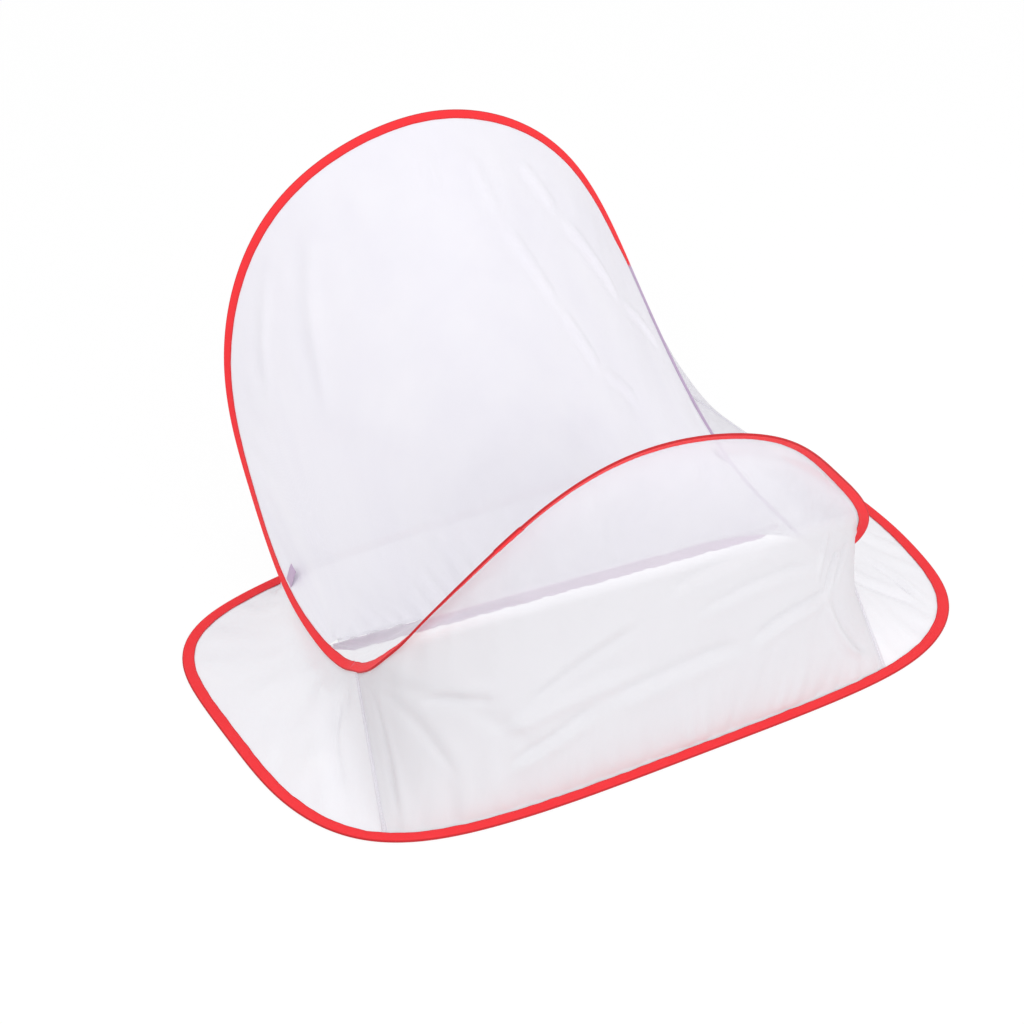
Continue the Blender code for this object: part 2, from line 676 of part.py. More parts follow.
# Small tabs of tape, held between the two nets at the mouth of the binding
def tab(name, share):
    middle = share * hoop.length
    at = between(middle - TAB_WIDTH / 2, middle + TAB_WIDTH / 2, all_stations)
    half = TAB_THICKNESS / 2
    tip = mouth + TAB_LENGTH
    section = np.array([(mouth, -half), (tip, -half), (tip, half), (mouth, half)])
    swept(name, pick(frame_centres, at), pick(frame_widths, at), pick(frame_normals, at), section, False,
          LAVENDER_TAPE)


tab("right_tab", RIGHT_TAB_SHARE)
tab("left_tab", LEFT_TAB_SHARE)

# The pieces of each arch turn about the line through its two bends
for arch, hinges in ARCH_HINGES.items():
    ends = hoop.place([hoop_at[hinge] for hinge in hinges])
    pivot = Vector(ends.mean(axis=0) + DEPTH_SHIFT)
    for piece in ARCH_PIECES[arch]:
        made = bpy.data.objects[piece]
        made.data.transform(Matrix.Translation(-pivot))
        made.location = pivot

bpy.context.view_layer.update()
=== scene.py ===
# Pop-up mosquito net tent for a sleeper's head: red binding tape over spring wire, see-through
# net panels, corner seams, a lavender strap between the low points, two small tabs, floor, light
# and camera.
# Metres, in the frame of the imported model: front towards -Y, origin under the middle.

import math

import bmesh
import bpy
import numpy as np
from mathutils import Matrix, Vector


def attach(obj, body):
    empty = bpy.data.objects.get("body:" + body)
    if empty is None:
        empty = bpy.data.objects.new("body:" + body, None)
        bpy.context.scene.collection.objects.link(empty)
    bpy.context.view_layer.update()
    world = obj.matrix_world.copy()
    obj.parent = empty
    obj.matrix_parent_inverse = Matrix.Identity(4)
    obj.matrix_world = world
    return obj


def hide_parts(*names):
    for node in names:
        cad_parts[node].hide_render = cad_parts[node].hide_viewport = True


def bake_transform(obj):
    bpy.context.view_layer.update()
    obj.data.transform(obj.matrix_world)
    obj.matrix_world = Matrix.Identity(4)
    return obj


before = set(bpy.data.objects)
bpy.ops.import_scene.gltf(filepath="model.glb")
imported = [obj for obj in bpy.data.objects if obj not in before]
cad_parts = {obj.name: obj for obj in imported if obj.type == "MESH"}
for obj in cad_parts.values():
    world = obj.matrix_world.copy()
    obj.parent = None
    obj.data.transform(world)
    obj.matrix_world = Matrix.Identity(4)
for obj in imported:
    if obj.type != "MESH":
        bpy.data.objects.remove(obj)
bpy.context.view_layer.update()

# Base hoop
BASE_LENGTH = 1.118
BASE_WIDTH = 0.682
BASE_SQUARENESS = 3.84

# Upper hoop, measured from its two low points
HOOP_HALF_SPAN = 0.372
HOOP_LOW_HEIGHT = 0.069
BACK_REACH = 0.513
BACK_RISE = 0.534
FRONT_REACH = 0.273
FRONT_RISE = 0.406
HOOP_SHIFT_X = -0.012
HOOP_TURN_DEG = -5.0
BACK_KNOT_SHARES = (
    (1.008, 0.335, 0.000), (0.981, 0.665, 0.140), (0.925, 0.940, 0.385),
    (0.683, 1.040, 0.748), (0.346, 1.022, 0.937), (0.000, 1.000, 1.000),
)
FRONT_KNOT_SHARES = (
    (0.978, 0.425, 0.082), (0.971, 0.740, 0.325), (0.726, 0.945, 0.675),
    (0.414, 1.045, 0.936), (0.000, 1.000, 1.000),
)
BACK_STEPS = 4
FRONT_STEPS = 3

# Wire, tape and the place of the joint in the hoop's binding
WIRE_RADIUS = 0.00125
SOLID_TAPE_HALF = 0.0025
FOLD_RADIUS = 0.00175
TAPE_WALL = 0.0004
HOOP_MOUTH = 0.01325
BASE_MOUTH = 0.01575
HOOP_TAPE_SHIFT = 0.00575
LEAD = 0.003
OVERLAP_SHARE = 0.30
OVERLAP_LENGTH = 0.045
OVERLAP_GROWTH = (1.04, 1.5)
FRONT_HINGE_SHARES = (0.6218, 0.9666)
BASE_WIRE_GAP = 0.001
TAPE_SPACING = 0.005
WIRE_SPACING = 0.01

# Strap and tabs
STRAP_SETBACK = 0.020
STRAP_TOP = HOOP_LOW_HEIGHT
STRAP_END_GAP = 0.0065
STRAP_END_INSET = 0.008
STRAP_HALF = HOOP_HALF_SPAN - SOLID_TAPE_HALF - STRAP_END_GAP
STRAP_REACH = STRAP_HALF - STRAP_END_INSET
STRAP_WIDTH = 0.020
STRAP_THICKNESS = 0.0008
STRAP_TIP_WIDTH = 0.009
STRAP_TIP_LENGTH = 0.030
STRAP_BULGE = 0.0016
STRAP_WRINKLE = 0.0011
STRAP_SPARE = 1.05
CANOPY_OFF_STRAP = 0.0007
CANOPY_OVER_STRAP = 0.0009
TAB_LENGTH = 0.034
TAB_WIDTH = 0.020
TAB_THICKNESS = 0.0006
TAB_TUCK = 0.003
TAB_CURL = 0.0022
TAB_CURL_TURN = 2.4
TAB_SPARE_LENGTH = 0.004
TAB_SHARES = {"right_tab": 0.055, "left_tab": 0.540}
TAB_LIFTS = {"right_tab": 0.007, "left_tab": 0.0}

# Seams, and how the skirt fans out from the upper hoop to the base hoop
SEAM_SHARES = {"rear_right": 0.092, "rear_left": 0.497, "front_left": 0.622, "front_right": 0.958}
FAN_HOOP_SHARES = (0.000, 0.050, 0.092, 0.112, 0.139, 0.152, 0.200, 0.294, 0.400, 0.470, 0.497, 0.530, 0.548,
                   0.565, 0.588, 0.622, 0.700, 0.794, 0.900, 0.958)
FAN_BASE_DEGREES = (-27.0, 3.0, 19.0, 27.5, 36.0, 41.0, 50.0, 86.0, 108.0, 119.0, 125.0, 134.0, 143.0,
                    158.0, 183.0, 211.0, 227.0, 268.0, 298.0, 315.5)

# Where the sprung base hoop lies inside or outside its plain outline, by share of its round
BASE_BOW_SHARES = (0.000, 0.100, 0.340, 0.375, 0.389, 0.403, 0.424, 0.444, 0.458, 0.480, 0.514, 0.542, 0.562,
                   0.583, 0.597, 0.618, 0.653, 0.720, 0.806, 0.861, 0.882, 0.903, 0.924, 0.944, 0.958,
                   0.972, 0.986)
BASE_BOW = (-0.006, 0.000, 0.000, 0.0025, -0.0005, -0.0045, -0.007, -0.0045, -0.001, 0.000, 0.000, 0.0025,
            0.0065, 0.002, -0.0035, -0.0045, -0.0025, -0.0025, -0.0032, -0.0042, -0.0015, 0.006, 0.010,
            0.010, 0.007, 0.002, -0.004)
BASE_BOW_INSET = 0.0005

# How far the tape leans out of the plane of the canopy, in degrees, by share of the hoop
LEAN_SHARES = (0.000, 0.150, 0.167, 0.205, 0.233, 0.267, 0.300, 0.333, 0.383, 0.417, 0.433, 0.450, 0.483,
               0.517, 0.540, 0.567, 0.583, 0.600, 0.617, 0.640, 0.667, 0.700, 0.783, 0.850, 0.870,
               0.885, 0.900, 0.917, 0.935, 0.950, 0.970)
LEAN_DEGREES = (0.0, 0.0, -7.0, -11.0, -5.0, 2.0, 14.0, 13.0, 0.0, 3.0, 11.0, 17.0, 35.0, 43.0, 43.0, 50.0,
                40.0, 12.0, -5.0, 10.0, 6.0, -5.0, 0.0, 7.0, 8.0, 0.0, -20.0, -20.0, -10.0, -15.0, 0.0)

# Where the sprung upper hoop lies off its plain line, as offsets along X, Y and Z
HOOP_BOW_SHARES = (0.000, 0.540, 0.565, 0.583, 0.600, 0.617, 0.633, 0.650, 0.667, 0.690, 0.960)
HOOP_BOW = ((0.0, 0.0, 0.0), (0.0, 0.0, 0.0), (0.001, -0.001, -0.003), (0.001, -0.001, -0.004),
            (-0.002, 0.003, 0.004), (-0.008, 0.010, 0.018), (-0.012, 0.008, 0.018), (-0.009, 0.003, 0.008),
            (0.0, 0.0, 0.0), (0.0, 0.0, -0.002), (0.0, 0.0, 0.0))

# The binding is red except on the right side, where it is a narrower lavender tape
RED_SHARES = (0.156, 0.961)
LAVENDER_TAPE_SHARE = 0.62
TAPER_LENGTH = 0.055

# Heights between which net and hoop bend smoothly when an arch folds; nothing here bends them
BACK_BEND = (0.132, 0.330)
FRONT_BEND = (0.123, 0.270)

# What moves a piece: its bodies, and the heights between which it bends from one to the other; only a still
# piece is tied to its body here
STILL = (["base"], None)
WITH_BACK = (["base", "back_arch"], BACK_BEND)
WITH_FRONT = (["base", "front_arch"], FRONT_BEND)

# Shares of the hoop where one piece of binding hands over to the next
BACK_TAPE_SHARES = (0.0953, 0.4935)
FRONT_TAPE_SHARES = (0.6125, 0.9758)
LEFT_RAIL_SHARES = (BACK_TAPE_SHARES[1], FRONT_TAPE_SHARES[0])
RIGHT_RAIL_SHARES = (FRONT_TAPE_SHARES[1], 1.0 + BACK_TAPE_SHARES[0])

# Fineness of lines and grids, and rounds of smoothing
DENSE = 2000
FINE = 720
BASE_TAPE_RINGS = 640
OVERLAP_RINGS = 14
STRAP_COLUMNS = 240
STRAP_ROWS = 12
TAB_COLUMNS = 14
TAB_ROWS = 16
HEADING_STEP = 4
HANG_ROWS = 6
CANOPY_ROUNDS = 240
SKIRT_ROUNDS = 6
FINE_ROUNDS = 30
BASE_BOW_ROUNDS = 900
HOOP_BOW_ROUNDS = 12
TURN_ROUNDS = 60

# How the nets sit in the tape: how deep, how far beside its middle, how near the wire, and the
# turns over which the skirt changes from leaving the mouth to leaving from beside the wire
NET_IN = 0.0035
NET_SIDE = 0.0004
NET_SIDE_INSIDE = 0.0003
SEWN_OUT = 0.0002
SEWN_IN = 0.0006
TURN_BACK_FROM = math.radians(60.0)
TURN_BACK_OVER = math.radians(70.0)
NEAR_PARALLEL = math.radians(60.0)


# Shape of the two hoops
def unit(vectors):
    return vectors / np.linalg.norm(vectors, axis=-1, keepdims=True)


def run_along(points):
    """Distance of each point from the first, along the line through them."""
    return np.concatenate([[0.0], np.cumsum(np.linalg.norm(np.diff(points, axis=0), axis=1))])


def smoothed(values, rounds):
    """A closed run of values, evened out."""
    for _ in range(rounds):
        values = (np.roll(values, 1, axis=0) + 2 * values + np.roll(values, -1, axis=0)) / 4
    return values


class ClosedCurve:
    """Smooth closed curve through its knots, by the distance from the first knot."""

    def __init__(self, knots):
        self.points = np.vstack([knots, knots[:1]])
        self.steps = np.linalg.norm(np.diff(self.points, axis=0), axis=1)
        self.at = np.concatenate([[0.0], np.cumsum(self.steps)])
        self.length = self.at[-1]
        count = len(knots)
        system = np.zeros((count, count))
        wanted = np.zeros((count, 3))
        slopes = np.diff(self.points, axis=0) / self.steps[:, None]
        for i in range(count):
            system[i, i - 1] += self.steps[i - 1]
            system[i, i] += 2 * (self.steps[i - 1] + self.steps[i])
            system[i, (i + 1) % count] += self.steps[i]
            wanted[i] = 6 * (slopes[i] - slopes[i - 1])
        bends = np.linalg.solve(system, wanted)
        self.bends = np.vstack([bends, bends[:1]])

    def place(self, distance):
        distance = np.mod(np.asarray(distance, float), self.length)
        i = np.clip(np.searchsorted(self.at, distance, side="right") - 1, 0, len(self.steps) - 1)
        h = self.steps[i][:, None]
        a = (self.at[i + 1] - distance)[:, None] / h
        b = 1 - a
        curve = (a**3 - a) * self.bends[i] + (b**3 - b) * self.bends[i + 1]
        return a * self.points[i] + b * self.points[i + 1] + curve * h**2 / 6

    def heading(self, distance):
        small = self.length / DENSE
        return unit(self.place(distance + small) - self.place(distance - small))


def turned_point(across, deep, up):
    """A point given in the hoop's own turned frame, at its height above the bed."""
    turn = math.radians(HOOP_TURN_DEG)
    x = HOOP_SHIFT_X + across * math.cos(turn) - deep * math.sin(turn)
    y = across * math.sin(turn) + deep * math.cos(turn)
    return np.array([x, y, up])


def hoop_knots():
    right_back = [(HOOP_HALF_SPAN * x, BACK_REACH * y, BACK_RISE * z) for x, y, z in BACK_KNOT_SHARES]
    right_front = [(HOOP_HALF_SPAN * x, -FRONT_REACH * y, FRONT_RISE * z) for x, y, z in FRONT_KNOT_SHARES]
    left_back = [(-x, y, z) for x, y, z in right_back[-2::-1]]
    left_front = [(-x, y, z) for x, y, z in right_front]
    knots = [(HOOP_HALF_SPAN, 0.0, 0.0)] + right_back + left_back
    knots += [(-HOOP_HALF_SPAN, 0.0, 0.0)] + left_front + right_front[-2::-1]
    return np.array([turned_point(x, y, z + HOOP_LOW_HEIGHT) for x, y, z in knots])


hoop = ClosedCurve(hoop_knots())
left_low_knot = 2 * len(BACK_KNOT_SHARES)
left_low = hoop.at[left_low_knot]
dense_hoop = hoop.place(np.linspace(0.0, hoop.length, DENSE, endpoint=False))
HOME = np.array([0.0, (BASE_WIDTH / 2 - dense_hoop[:, 1].max() - SOLID_TAPE_HALF) / 2, 0.0])

coarse = []
for knot in range(len(hoop.steps)):
    steps = BACK_STEPS if knot < left_low_knot else FRONT_STEPS
    for step in range(steps):
        coarse.append(hoop.at[knot] + hoop.steps[knot] * step / steps)
coarse = np.array(coarse)


def periodic(places, values, wanted, period):
    """Straight-line readings of a closed run of values."""
    wanted = np.mod(np.asarray(wanted, float) - places[0], period) + places[0]
    places = np.concatenate([places, [places[0] + period]])
    rows = np.vstack([values, values[:1]])
    return np.stack([np.interp(wanted, places, rows[:, k]) for k in range(rows.shape[1])], axis=1)


base_angles = np.linspace(0.0, 2 * math.pi, DENSE, endpoint=False)
across_half = BASE_LENGTH / 2 - SOLID_TAPE_HALF
deep_half = BASE_WIDTH / 2 - SOLID_TAPE_HALF
base_reach = (np.abs(np.cos(base_angles) / across_half) ** BASE_SQUARENESS
              + np.abs(np.sin(base_angles) / deep_half) ** BASE_SQUARENESS) ** (-1 / BASE_SQUARENESS)
base_dense = np.stack([base_reach * np.cos(base_angles), base_reach * np.sin(base_angles),
                       np.full(DENSE, FOLD_RADIUS)], axis=1)
base_run = run_along(np.vstack([base_dense, base_dense[:1]]))
base_round = base_run[-1]
base_run = base_run[:-1]
fan_feet = np.interp(np.radians(np.mod(FAN_BASE_DEGREES, 360.0)), base_angles, base_run)
fan_feet[0] -= base_round


def inward_of(points):
    heading = unit(np.roll(points, -HEADING_STEP, axis=0) - np.roll(points, HEADING_STEP, axis=0))
    return heading, np.stack([-heading[:, 1], heading[:, 0], np.zeros(len(heading))], axis=1)


bow = smoothed(np.interp(base_run / base_round, BASE_BOW_SHARES, BASE_BOW, period=1.0), BASE_BOW_ROUNDS)
base_dense = base_dense + inward_of(base_dense)[1] * (bow - BASE_BOW_INSET)[:, None]


def base_frame(wanted):
    """Wire centre of the base hoop and the direction its tape lies in."""
    heading, width = inward_of(base_dense)
    centre = periodic(base_run, base_dense, wanted, base_round)
    width = unit(periodic(base_run, width, wanted, base_round))
    heading = unit(periodic(base_run, heading, wanted, base_round))
    return centre, width, np.cross(heading, width)


def base_below(distance):
    """Distance along the base hoop that lies below a distance along the upper hoop."""
    tops = np.array(FAN_HOOP_SHARES) * hoop.length
    tops = np.concatenate([tops[-2:] - hoop.length, tops, tops[:2] + hoop.length])
    feet = np.concatenate([fan_feet[-2:] - base_round, fan_feet, fan_feet[:2] + base_round])
    return np.interp(np.asarray(distance, float), tops, feet)


def strap_reading(distance):
    back_share = distance / left_low
    front_share = (hoop.length - distance) / (hoop.length - left_low)
    share = np.where(distance <= left_low, back_share, front_share)
    return STRAP_REACH * (1 - 2 * share)


def square_to(vectors, heading):
    return unit(vectors - heading * np.sum(vectors * heading, axis=1, keepdims=True))


def leaving(far_points, heading, rounds):
    """Directions, square to the hoop, in which a net that hangs to the far points leaves it."""
    shares = np.linspace(0.0, 1.0, HANG_ROWS)[:, None, None]
    grid = hoop.place(coarse)[None] * (1 - shares) + far_points[None] * shares
    for _ in range(rounds):
        inner = grid[1:-1]
        beside = np.roll(inner, 1, axis=1) + np.roll(inner, -1, axis=1)
        grid[1:-1] = (grid[:-2] + grid[2:] + beside) / 4
    return square_to(grid[1] - grid[0], heading)


coarse_heading = hoop.heading(coarse)
seats = np.array([turned_point(x, STRAP_SETBACK, STRAP_TOP) for x in strap_reading(coarse)])
inward = leaving(seats, coarse_heading, CANOPY_ROUNDS)
outward = leaving(base_frame(base_below(coarse))[0], coarse_heading, SKIRT_ROUNDS)
turned = np.arctan2(np.sum(np.cross(outward, inward) * coarse_heading, axis=1),
                    np.sum(outward * inward, axis=1))
apart = np.mod(turned + NEAR_PARALLEL, 2 * math.pi) - NEAR_PARALLEL
lean = np.radians(np.interp(coarse / hoop.length, LEAN_SHARES, LEAN_DEGREES, period=1.0))[:, None]
coarse_width = inward * np.cos(lean) + np.cross(coarse_heading, inward) * np.sin(lean)
coarse_turns = np.concatenate([coarse_width, outward, (apart + lean[:, 0])[:, None]], axis=1)
fine = np.linspace(0.0, hoop.length, FINE, endpoint=False)
fine_turns = smoothed(periodic(coarse, coarse_turns, fine, hoop.length), TURN_ROUNDS)
bow_rows = [np.interp(fine / hoop.length, HOOP_BOW_SHARES, column, period=1.0) for column in zip(*HOOP_BOW)]
hoop_bow = smoothed(np.stack(bow_rows, axis=1), HOOP_BOW_ROUNDS)
fine_line = hoop.place(fine) + hoop_bow
fine_heading = unit(np.roll(fine_line, -1, axis=0) - np.roll(fine_line, 1, axis=0))


def tape_share(wanted):
    """Share of its full width that the binding has: it tapers into the lavender stretch."""
    share = np.mod(np.asarray(wanted, float), hoop.length) / hoop.length
    into = np.minimum(share - RED_SHARES[0], RED_SHARES[1] - share) * hoop.length / TAPER_LENGTH
    into = np.clip(into, 0.0, 1.0)
    return LAVENDER_TAPE_SHARE + (1 - LAVENDER_TAPE_SHARE) * into * into * (3 - 2 * into)


def hoop_frame(wanted):
    """Wire centre, direction across the tape, and the tape's inner normal."""
    heading = unit(periodic(fine, fine_heading, wanted, hoop.length))
    width = square_to(periodic(fine, fine_turns[:, :3], wanted, hoop.length), heading)
    line = hoop.place(wanted) + periodic(fine, hoop_bow, wanted, hoop.length)
    return line - width * HOOP_TAPE_SHIFT, width, np.cross(heading, width)


def skirt_start(wanted):
    """Where the skirt is sewn in, the way it leaves, and a point inside the tape just before.

    It comes out of the tape's mouth, or from beside the wire where it leaves backwards."""
    centre, width, normal = hoop_frame(wanted)
    readings = periodic(fine, fine_turns, wanted, hoop.length)
    heading = hoop.heading(wanted)
    way = square_to(readings[:, 3:6], heading)
    turn = readings[:, 6:]
    back = np.clip((turn - TURN_BACK_FROM) / TURN_BACK_OVER, 0.0, 1.0)
    back = back * back * (3 - 2 * back)
    mouth = HOOP_MOUTH * tape_share(wanted)[:, None]
    beside = normal * np.cos(turn) + width * np.sin(turn)
    at_mouth = centre + width * mouth - normal * NET_SIDE
    at_wire = centre + beside * (FOLD_RADIUS + SEWN_OUT)
    start = at_mouth * (1 - back) + at_wire * back
    leave = unit(width * (1 - back) + way * back)
    inside_mouth = centre + width * (mouth - NET_IN) - normal * NET_SIDE_INSIDE
    inside = inside_mouth * (1 - back) + (centre + beside * (FOLD_RADIUS - SEWN_IN)) * back
    return start, leave, inside


# Materials
class Link:
    """A value in a material's nodes that takes part in plain arithmetic."""

    def __init__(self, finish, socket):
        self.finish = finish
        self.socket = socket

    def math(self, operation, other=None, swapped=False):
        values = [self] if other is None else [self, other]
        if swapped:
            values.reverse()
        return self.finish.node("ShaderNodeMath", {"operation": operation}, dict(enumerate(values)))

    def __add__(self, other):
        return self.math("ADD", other)

    def __radd__(self, other):
        return self.math("ADD", other, True)

    def __sub__(self, other):
        return self.math("SUBTRACT", other)

    def __rsub__(self, other):
        return self.math("SUBTRACT", other, True)

    def __mul__(self, other):
        return self.math("MULTIPLY", other)

    def __rmul__(self, other):
        return self.math("MULTIPLY", other, True)

    def __truediv__(self, other):
        return self.math("DIVIDE", other)

    def __pow__(self, other):
        return self.math("POWER", other)

    def sine(self):
        return self.math("SINE")

    def size(self):
        return self.math("ABSOLUTE")

    def above(self, other):
        return self.math("MAXIMUM", other)

    def below(self, other):
        return self.math("MINIMUM", other)


class Finish:
    """A procedural material on a principled shader."""

    def __init__(self, name, colour, roughness, **plain):
        self.material = bpy.data.materials.new(name)
        self.material.use_nodes = True
        self.tree = self.material.node_tree
        self.shader = self.tree.nodes["Principled BSDF"]
        self.put(self.shader, {"Base Color": (*colour, 1.0), "Roughness": roughness, **plain})

    def put(self, node, values):
        for name, value in values.items():
            if isinstance(value, Link):
                self.tree.links.new(value.socket, node.inputs[name])
            else:
                node.inputs[name].default_value = value

    def node(self, kind, settings=None, values=None, output=0):
        made = self.tree.nodes.new(kind)
        for name, value in (settings or {}).items():
            setattr(made, name, value)
        self.put(made, values or {})
        return Link(self, made.outputs[output])

    def uv(self):
        """The two cloth coordinates, in metres along and across the piece."""
        cloth = self.node("ShaderNodeUVMap", {"uv_map": "cloth"})
        along = self.node("ShaderNodeSeparateXYZ", values={0: cloth}, output="X")
        return cloth, along, self.also(along, "Y")

    def also(self, link, output):
        return Link(self, link.socket.node.outputs[output])

    def noise(self, vector, scale, detail=2.0):
        return self.node("ShaderNodeTexNoise", values={"Vector": vector, "Scale": scale, "Detail": detail})

    def blend(self, share, first, second):
        mix = self.tree.nodes.new("ShaderNodeMix")
        mix.data_type = "RGBA"
        self.put(mix, {0: share})
        for place, value in ((6, first), (7, second)):
            if isinstance(value, Link):
                self.tree.links.new(value.socket, mix.inputs[place])
            else:
                mix.inputs[place].default_value = (*value, 1.0)
        return Link(self, mix.outputs[2])

    def bump(self, height, distance, strength=1.0):
        values = {"Height": height, "Distance": distance, "Strength": strength}
        self.put(self.shader, {"Normal": self.node("ShaderNodeBump", values=values)})


RED = (0.98, 0.030, 0.040)
RED_DEEP = (0.90, 0.022, 0.030)
# Painted shade along the tape's fold and open edges
RED_PAINTED_SHADE = (0.40, 0.006, 0.010)
NET_WHITE = (0.90, 0.89, 0.935)
NET_SHADE = (0.84, 0.825, 0.90)
HEM_WHITE = (0.96, 0.94, 0.96)
LAVENDER = (0.60, 0.47, 0.65)
LAVENDER_DEEP = (0.44, 0.32, 0.50)
PALE_LAVENDER = (0.84, 0.55, 0.80)
PALE_LAVENDER_DEEP = (0.64, 0.38, 0.62)

# Weave of the tapes and the net, in metres
RIB_PITCH = 0.00075
THREAD_PITCH = 0.0011
RIBBON_PITCH = 0.0009
# Width of the painted shade along the tape's fold and open edges
EDGE_SHADE_WIDTH = 0.0016
NET_PITCH = 0.0016
NET_WANDER = 0.006
HEM = 0.0066

# How sharply the tape's colour changes and the hem ends, per metre
TAPE_CHANGE = 140.0
HEM_CHANGE = 1200.0

# The slopes past which three of the nets lie doubled, and past which two of them are also darkened with
# painted shade: a direction, the distance along it at which the second layer starts, and how fast it
# thickens
HIGH_FRONT = ((1.18, 0.0, 1.0), 0.515, 25.0)
LOW_FRONT = ((-0.051, -0.582, -0.730), 0.0120, 55.0)
LEFT_END = ((0.946, -0.241, 0.215), -0.385, 16.0)


def binding_finish(name, mouth, side_stretch):
    """Woven polyester tape: fine cross ribs, painted shade along the fold and the open edges, small shifts
    of colour, lavender on the side stretch."""
    finish = Finish(name, RED, 0.62, **{"Specular IOR Level": 0.35})
    cloth, along, across = finish.uv()
    ribs = (along * (2 * math.pi / RIB_PITCH)).sine() * 0.5 + 0.5
    threads = (across * (2 * math.pi / THREAD_PITCH)).sine() * 0.5 + 0.5
    patches = finish.noise(cloth, 45.0, 3.0)
    worn = finish.noise(cloth, 700.0, 2.0)
    shade = (ribs * 0.25 + threads * 0.15 + patches * 0.45 + worn * 0.25).below(1.0)
    # Painted shade: the tape darkens over its fold and at its open edges, where it turns from the light
    fold = mouth + math.pi * FOLD_RADIUS / 2
    fold_shade = 1.0 - ((across - fold).size() - EDGE_SHADE_WIDTH) / EDGE_SHADE_WIDTH
    edge_shade = 1.0 - across.below(2 * fold - across).size() / EDGE_SHADE_WIDTH
    edge = fold_shade.above(edge_shade).above(0.0).below(1.0)
    colour = finish.blend(edge * 0.75, finish.blend(shade, RED_DEEP, RED), RED_PAINTED_SHADE)
    if side_stretch:
        low = (RED_SHARES[0] * hoop.length - along) * TAPE_CHANGE
        high = (along - RED_SHARES[1] * hoop.length) * TAPE_CHANGE
        side = (low.above(high) + 0.5).above(0.0).below(1.0)
        colour = finish.blend(side, colour, finish.blend(shade, LAVENDER_DEEP, LAVENDER))
    finish.put(finish.shader, {"Base Color": colour, "Roughness": worn * 0.2 + 0.52})
    finish.bump(ribs * 0.6 + threads * 0.4, 0.00012)
    return finish.material


def thread_finish(name, colour, deep):
    finish = Finish(name, colour, 0.5, **{"Sheen Weight": 0.3})
    place = finish.node("ShaderNodeTexCoord", output="Object")
    twist = finish.noise(place, 2500.0, 2.0)
    finish.put(finish.shader, {"Base Color": finish.blend(twist, deep, colour)})
    finish.bump(twist, 0.0001)
    return finish.material


def net_finish(name, cover, painted_shade_tint=1.0, second=0.0, slope=HIGH_FRONT):
    """Knitted net: threads in three directions, 60 degrees apart, round open holes, denser where it
    is seen edge-on or lies doubled, and darkened there with painted shade where a tint below one is given."""
    finish = Finish(name, NET_WHITE, 0.75, **{"Sheen Weight": 0.15})
    flat, _, _ = finish.uv()
    slack = finish.node("ShaderNodeTexNoise", values={"Vector": flat, "Scale": 38.0}, output="Color")
    cloth = finish.node("ShaderNodeVectorMath", {"operation": "MULTIPLY_ADD"},
                        {0: slack, 1: (NET_WANDER, NET_WANDER, 0.0), 2: flat})
    along = finish.node("ShaderNodeSeparateXYZ", values={0: cloth}, output="X")
    across = finish.also(along, "Y")
    rows = (along, along * 0.5 + across * 0.866, along * 0.5 - across * 0.866)
    one, two, three = [(row * (math.pi / NET_PITCH)).sine().size() for row in rows]
    open_part = one.below(two).below(three)
    threads = 1.0 - (open_part * 2.2).below(1.0)
    uneven = finish.noise(cloth, 9.0, 3.0)
    facing = finish.node("ShaderNodeLayerWeight", values={"Blend": 0.5}, output="Facing")
    dense = (facing ** 3.0) * 0.25
    if second:
        spot = finish.node("ShaderNodeTexCoord", output="Object")
        reach = finish.node("ShaderNodeVectorMath", {"operation": "DOT_PRODUCT"}, {0: spot, 1: slope[0]},
                            "Value")
        layer = ((reach - slope[1]) * slope[2]).above(0.0).below(1.0)
        dense = dense + layer * second
    alpha = (threads * 0.05 + uneven * 0.05 + dense + cover).below(0.97)
    colour = finish.blend(uneven, NET_SHADE, NET_WHITE)
    if second:
        # Painted shade: past the slope the colour is darkened by the tint
        colour = finish.blend(layer, colour, tuple(painted_shade_tint * c for c in NET_WHITE))
    hem = ((HEM - across) * HEM_CHANGE).above(0.0).below(1.0)
    colour = finish.blend(hem * 0.8, colour, HEM_WHITE)
    alpha = alpha.above(hem * 0.96)
    finish.put(finish.shader, {"Base Color": colour, "Alpha": alpha})
    finish.bump(threads, 0.0001, 0.4)
    return finish.material


def lavender_finish(name, colour, deep):
    """Thin soft tape: fine weave and slight blotches."""
    finish = Finish(name, colour, 0.7, **{"Sheen Weight": 0.3})
    cloth, along, across = finish.uv()
    turn = 2 * math.pi / RIBBON_PITCH
    weave = (along * turn).sine() * (across * turn).sine() * 0.5 + 0.5
    patches = finish.noise(cloth, 60.0, 3.0)
    finish.put(finish.shader, {"Base Color": finish.blend(weave * 0.3 + patches * 0.7, deep, colour)})
    finish.bump(weave, 0.0001)
    return finish.material


def steel_finish():
    finish = Finish("drawn_steel", (0.45, 0.46, 0.48), 0.32, Metallic=1.0)
    place = finish.node("ShaderNodeTexCoord", output="Object")
    marks = finish.noise(place, 900.0, 3.0)
    finish.put(finish.shader, {"Roughness": marks * 0.25 + 0.2})
    finish.bump(marks, 0.00004)
    return finish.material


